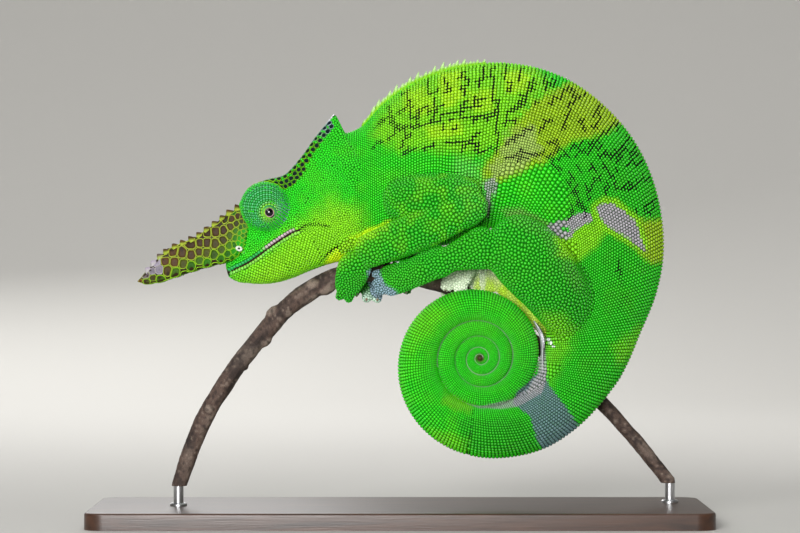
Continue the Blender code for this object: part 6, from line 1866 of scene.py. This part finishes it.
class MESH_OT_chameleon_coat(bpy.types.Operator):
    """Scales in rows on the body, fine rings on the turrets and granules on the head and the limbs"""

    bl_idname = "mesh.chameleon_coat"
    bl_label = "Coat of scales"

    def execute(self, context):
        sizes, colours = context.scene.chameleon_sizes, palette(context.scene)
        surface, body = WORK["surface"], WORK["coat"]
        special = Coat.joined([turret_scales(sizes), jaw_scales(sizes), casque_scales(sizes)])
        special = special.kept(special.settle(surface) < 0.9)
        on_skin = body.settle(surface) < 0.5
        guard = tree_of(special.place)
        clear = np.array([guard.find(p)[2] for p in body.place.tolist()]) > 1.0
        fixed = Coat.joined([body.kept(on_skin & clear), special])
        loose = settled(scattered(surface, WORK["body"], fixed, sizes), fixed, surface)
        coat = Coat.joined([fixed, loose])
        which, _, _, off = limb_share(coat.place)
        on_limb = np.isin(coat.piece, [PIECE["coat_" + word] for word in ("arms", "legs", "hands", "feet")])
        tint = tones(coat.place, coat.out, colours, np.where(on_limb & (off < 1.4), which, -1))
        tint = head_tone(coat.place, tint, colours, coat.kind)
        # The inner edge of each turn of the coil is a thin pale line.
        coiled = np.isin(coat.piece, [PIECE["coat_coil"], PIECE["coat_coil_inner"]])
        tint = mix(tint, colours.lilac, coiled * soft(np.abs(coat.spot[:, 1] - 0.5) / 0.48, 0.86, 0.95) * 0.85)
        tint = tint * np.random.default_rng(5).uniform(0.85, 1.12, (len(tint), 1))
        casque = coat.kind == KIND["casque"]
        # The crown of each scale is lightened, as a painted highlight: towards light green, or to the scale's own
        # colour brightened where it is pale.
        light = mix(tint, colours.light_green, 0.5 - 0.25 * (coat.kind == KIND["head"]))
        pale = np.maximum(tint.max(axis=1) - tint[:, 1], 0) + tint.min(axis=1)
        light = mix(light, np.minimum(tint * 1.35 + 0.05, 1), soft(pale, 0.06, 0.2))
        light = mix(light, colours.crest, (coat.kind == KIND["ridge"]) * 0.85)
        # The casque's plates are blue-black with pale lime outlines. Towards the top edge the outlines turn pale blue,
        # as a painted highlight.
        tint = mix(tint, colours.casque, casque)
        light = mix(light, mix(colours.lime, rgb("#9FB6C4"), soft(coat.place[:, 2], 112, 120)), casque)
        # The rim of each scale is darkened towards the furrow colour, as painted shade. Bright scales and the fine
        # scales of the head keep more of their own colour.
        fine = np.isin(coat.kind, [KIND["head"], KIND["lip"], *LID_KINDS])
        furrow_and_shade = mix(colours.furrow, tint * 0.35, 0.4 + 0.3 * fine)
        furrow_and_shade = mix(furrow_and_shade, tint * 0.8, np.maximum(brightness(tint), 0.3 * fine))
        *ways, angle = cells(coat, sizes.scale_sides, WORK["cracked"])
        material = scaly_skin("scale_keratin", 0.42, 0.25, 0.35)
        # The hollow plates of the casque are weathered and hold no highlight.
        dull = scaly_skin("weathered_keratin", 0.7, 0.25, 0.35, 1.52, 0.08)
        for index, name in enumerate(PIECES):
            here = np.flatnonzero((coat.piece == index) & (ways[0].min(axis=1) > 0.05))
            mesh = scale_mesh(name, coat.kept(here), (*(way[here] for way in ways), angle), surface,
                              tint[here], light[here], furrow_and_shade[here])
            place_piece(name, mesh, dull if name == "coat_casque" else material)
        return {"FINISHED"}


class MESH_OT_chameleon_crest(bpy.types.Operator):
    """The spines of the nape and the shoulders"""

    bl_idname = "mesh.chameleon_crest"
    bl_label = "Crest"

    def execute(self, context):
        colours = palette(context.scene)
        place_piece("crest", make_crest(colours), scaly_skin("spine_keratin", 0.45, 0.3, 0.3))
        return {"FINISHED"}


class MESH_OT_chameleon_folds(bpy.types.Operator):
    """The pale folds of loose skin by the vent, and the tip of the tail"""

    bl_idname = "mesh.chameleon_folds"
    bl_label = "Vent folds"

    def execute(self, context):
        colours = palette(context.scene)
        soft_skin = scaly_skin("fold_skin", 0.6, 0.3, 0.5)
        place_piece("vent_folds", make_folds(colours), soft_skin)
        place_piece("coil_middle", make_tail_tip(colours), soft_skin)
        return {"FINISHED"}


class MESH_OT_chameleon_claws(bpy.types.Operator):
    """A curved claw on each toe"""

    bl_idname = "mesh.chameleon_claws"
    bl_label = "Claws"

    def execute(self, context):
        sizes, colours = context.scene.chameleon_sizes, palette(context.scene)
        place_piece("claws", make_claws(colours, sizes), scaly_skin("claw_keratin", 0.25, 0.4, 0.2))
        return {"FINISHED"}


class MESH_OT_chameleon_eyes(bpy.types.Operator):
    """Both eyes, and the rim of each lid"""

    bl_idname = "mesh.chameleon_eyes"
    bl_label = "Eyes"

    def execute(self, context):
        colours = palette(context.scene)
        # A wet cornea: smooth, with a sharp highlight.
        wet, tree, shader = new_material("wet_cornea", 0.06, 1.38)
        tint = add_node(tree, "ShaderNodeAttribute", {"attribute_name": "tint"})
        join(tree, tint, "Color", shader, "Base Color")
        lid = scaly_skin("lid_skin", 0.45, 0.2, 0.3)
        for word, side in SIDES.items():
            ball, rim = "eye_ball_" + word, "lid_rim_" + word
            place_piece(ball, painted_mesh(ball, [make_eye(side)]), wet, ["eye_" + word])
            place_piece(rim, painted_mesh(rim, make_lid(side, colours)), lid)
        return {"FINISHED"}


class MESH_OT_chameleon_nostrils(bpy.types.Operator):
    """The raised rim and the dark hole of each nostril"""

    bl_idname = "mesh.chameleon_nostrils"
    bl_label = "Nostrils"

    def execute(self, context):
        place_piece("nostrils", make_nostrils(), scaly_skin("nostril_skin", 0.5, 0.2, 0.3))
        return {"FINISHED"}


class MESH_OT_chameleon_horns(bpy.types.Operator):
    """Both horns, each a blade under overlapping plates with a saw-toothed upper edge"""

    bl_idname = "mesh.chameleon_horns"
    bl_label = "Horns"

    def execute(self, context):
        sizes, colours = context.scene.chameleon_sizes, palette(context.scene)
        # Keratin plates: harder and glossier than the skin.
        finish = scaly_skin("horn_plate_keratin", 0.55, 0.35, 0.5, 1.52, 0.15)
        for word, side in SIDES.items():
            name = "horn_blade_" + word
            place_piece(name, painted_mesh(name, make_horn(side, colours, sizes)), finish, ["horn_" + word])
        return {"FINISHED"}


class MESH_OT_chameleon_branch(bpy.types.Operator):
    """The cut length of branch that the animal grips"""

    bl_idname = "mesh.chameleon_branch"
    bl_label = "Branch"

    def execute(self, context):
        colours = palette(context.scene)
        nodes = [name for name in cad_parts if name.startswith("perch_")]
        place_piece("branch", make_branch(colours), bark_finish(), nodes)
        return {"FINISHED"}


class MESH_OT_chameleon_stand(bpy.types.Operator):
    """The display base and the two short rods that hold the branch"""

    bl_idname = "mesh.chameleon_stand"
    bl_label = "Stand"

    def execute(self, context):
        colours = palette(context.scene)
        slab = make_slab("base_board", BASE_LENGTH / 2, BASE_WIDTH / 2, BASE_HEIGHT, BASE_CORNER, BASE_EDGE)
        made = [place_piece("base_board", slab, wood_finish(colours), ["stand_base"])]
        steel, turn = rod_finish(), circle(40)
        for word, (x, y, _, _) in (("front", BRANCH[0]), ("back", BRANCH[-1])):
            rings = [np.column_stack([x + r * np.cos(turn), y + r * np.sin(turn), np.full(40, z)])
                     for r, z in ROD_OUTLINE]
            mesh = new_mesh("rod_" + word, *closed_body(rings))
            made.append(place_piece("rod_" + word, mesh, steel, ["stand_rod_" + word]))
        for piece in made:
            piece.data.set_sharp_from_angle(angle=math.radians(35))
        return {"FINISHED"}


class MESH_OT_chameleon_stage(bpy.types.Operator):
    """A plain pale sweep, soft studio light and the camera"""

    bl_idname = "mesh.chameleon_stage"
    bl_label = "Stage"

    def execute(self, context):
        colours = palette(context.scene)
        scene, turn = bpy.context.scene, circle(96)
        curve = [(0.75 + 1.1 * math.sin(a), 1.1 - 1.1 * math.cos(a)) for a in np.radians(np.linspace(0, 88, 23))]
        outline = [(0.0001, 0.0), *curve, (1.86, 1.6)]
        rings = [np.column_stack([r * np.cos(turn), r * np.sin(turn), np.full(96, z)]) for r, z in outline]
        mesh = bpy.data.meshes.new("sweep")
        mesh.from_pydata(np.concatenate(rings).tolist(), [], ring_faces(len(rings), 96).tolist())
        mesh.shade_smooth()
        # Seamless studio paper: matt, with no pattern.
        paper, _, shader = new_material("studio_paper", 0.9)
        shader.inputs["Base Color"].default_value = (*colours.floor, 1)
        mesh.materials.append(paper)
        add_object("sweep", mesh)
        scene.world = bpy.data.worlds.new("studio")
        scene.world.use_nodes = True
        sky = scene.world.node_tree.nodes["Background"].inputs
        sky["Color"].default_value, sky["Strength"].default_value = (*rgb("#E8ECF2"), 1), 0.12
        for name, place, aim, size, power in LAMPS:
            data = bpy.data.lights.new(name, "AREA")
            data.shape, data.size, data.energy = "SQUARE", size, power
            lamp = add_object(name, data)
            lamp.location = place
            lamp.rotation_euler = (Vector(aim) - Vector(place)).to_track_quat("-Z", "Y").to_euler()
        scene.view_settings.view_transform = "Standard"
        data = bpy.data.cameras.new("camera")
        data.sensor_width, data.lens, data.clip_start, data.clip_end = 36.0, 135.0, 0.05, 20.0
        scene.camera = add_object("camera", data)
        scene.camera.location = (0.0, -0.9, 0.07655)
        scene.camera.rotation_euler = (math.pi / 2, 0.0, 0.0)
        return {"FINISHED"}


class VIEW3D_PT_chameleon(bpy.types.Panel):
    """Lists the pieces and the values that shape them"""

    bl_label = "Chameleon"
    bl_idname = "VIEW3D_PT_chameleon"
    bl_space_type = "VIEW_3D"
    bl_region_type = "UI"
    bl_category = "Chameleon"

    def draw(self, context):
        for group in (context.scene.chameleon_sizes, context.scene.chameleon_colours):
            for name in type(group).__annotations__:
                self.layout.prop(group, name)
        for operator in STEPS:
            self.layout.operator(operator.bl_idname)


STEPS = [
    MESH_OT_chameleon_stage, MESH_OT_chameleon_stand, MESH_OT_chameleon_branch, MESH_OT_chameleon_skin,
    MESH_OT_chameleon_coat, MESH_OT_chameleon_crest, MESH_OT_chameleon_folds, MESH_OT_chameleon_claws,
    MESH_OT_chameleon_eyes, MESH_OT_chameleon_nostrils, MESH_OT_chameleon_horns,
]
CLASSES = [ChameleonSizes, ChameleonColours, *STEPS, VIEW3D_PT_chameleon]


def register():
    for item in CLASSES:
        bpy.utils.register_class(item)
    bpy.types.Scene.chameleon_sizes = PointerProperty(type=ChameleonSizes)
    bpy.types.Scene.chameleon_colours = PointerProperty(type=ChameleonColours)


def unregister():
    del bpy.types.Scene.chameleon_colours
    del bpy.types.Scene.chameleon_sizes
    for item in reversed(CLASSES):
        bpy.utils.unregister_class(item)


def main():
    register()
    bpy.ops.mesh.chameleon_stage()
    bpy.ops.mesh.chameleon_stand()
    bpy.ops.mesh.chameleon_branch()
    bpy.ops.mesh.chameleon_skin()
    bpy.ops.mesh.chameleon_coat()
    bpy.ops.mesh.chameleon_crest()
    bpy.ops.mesh.chameleon_folds()
    bpy.ops.mesh.chameleon_claws()
    bpy.ops.mesh.chameleon_eyes()
    bpy.ops.mesh.chameleon_nostrils()
    bpy.ops.mesh.chameleon_horns()


if __name__ == "__main__":
    main()
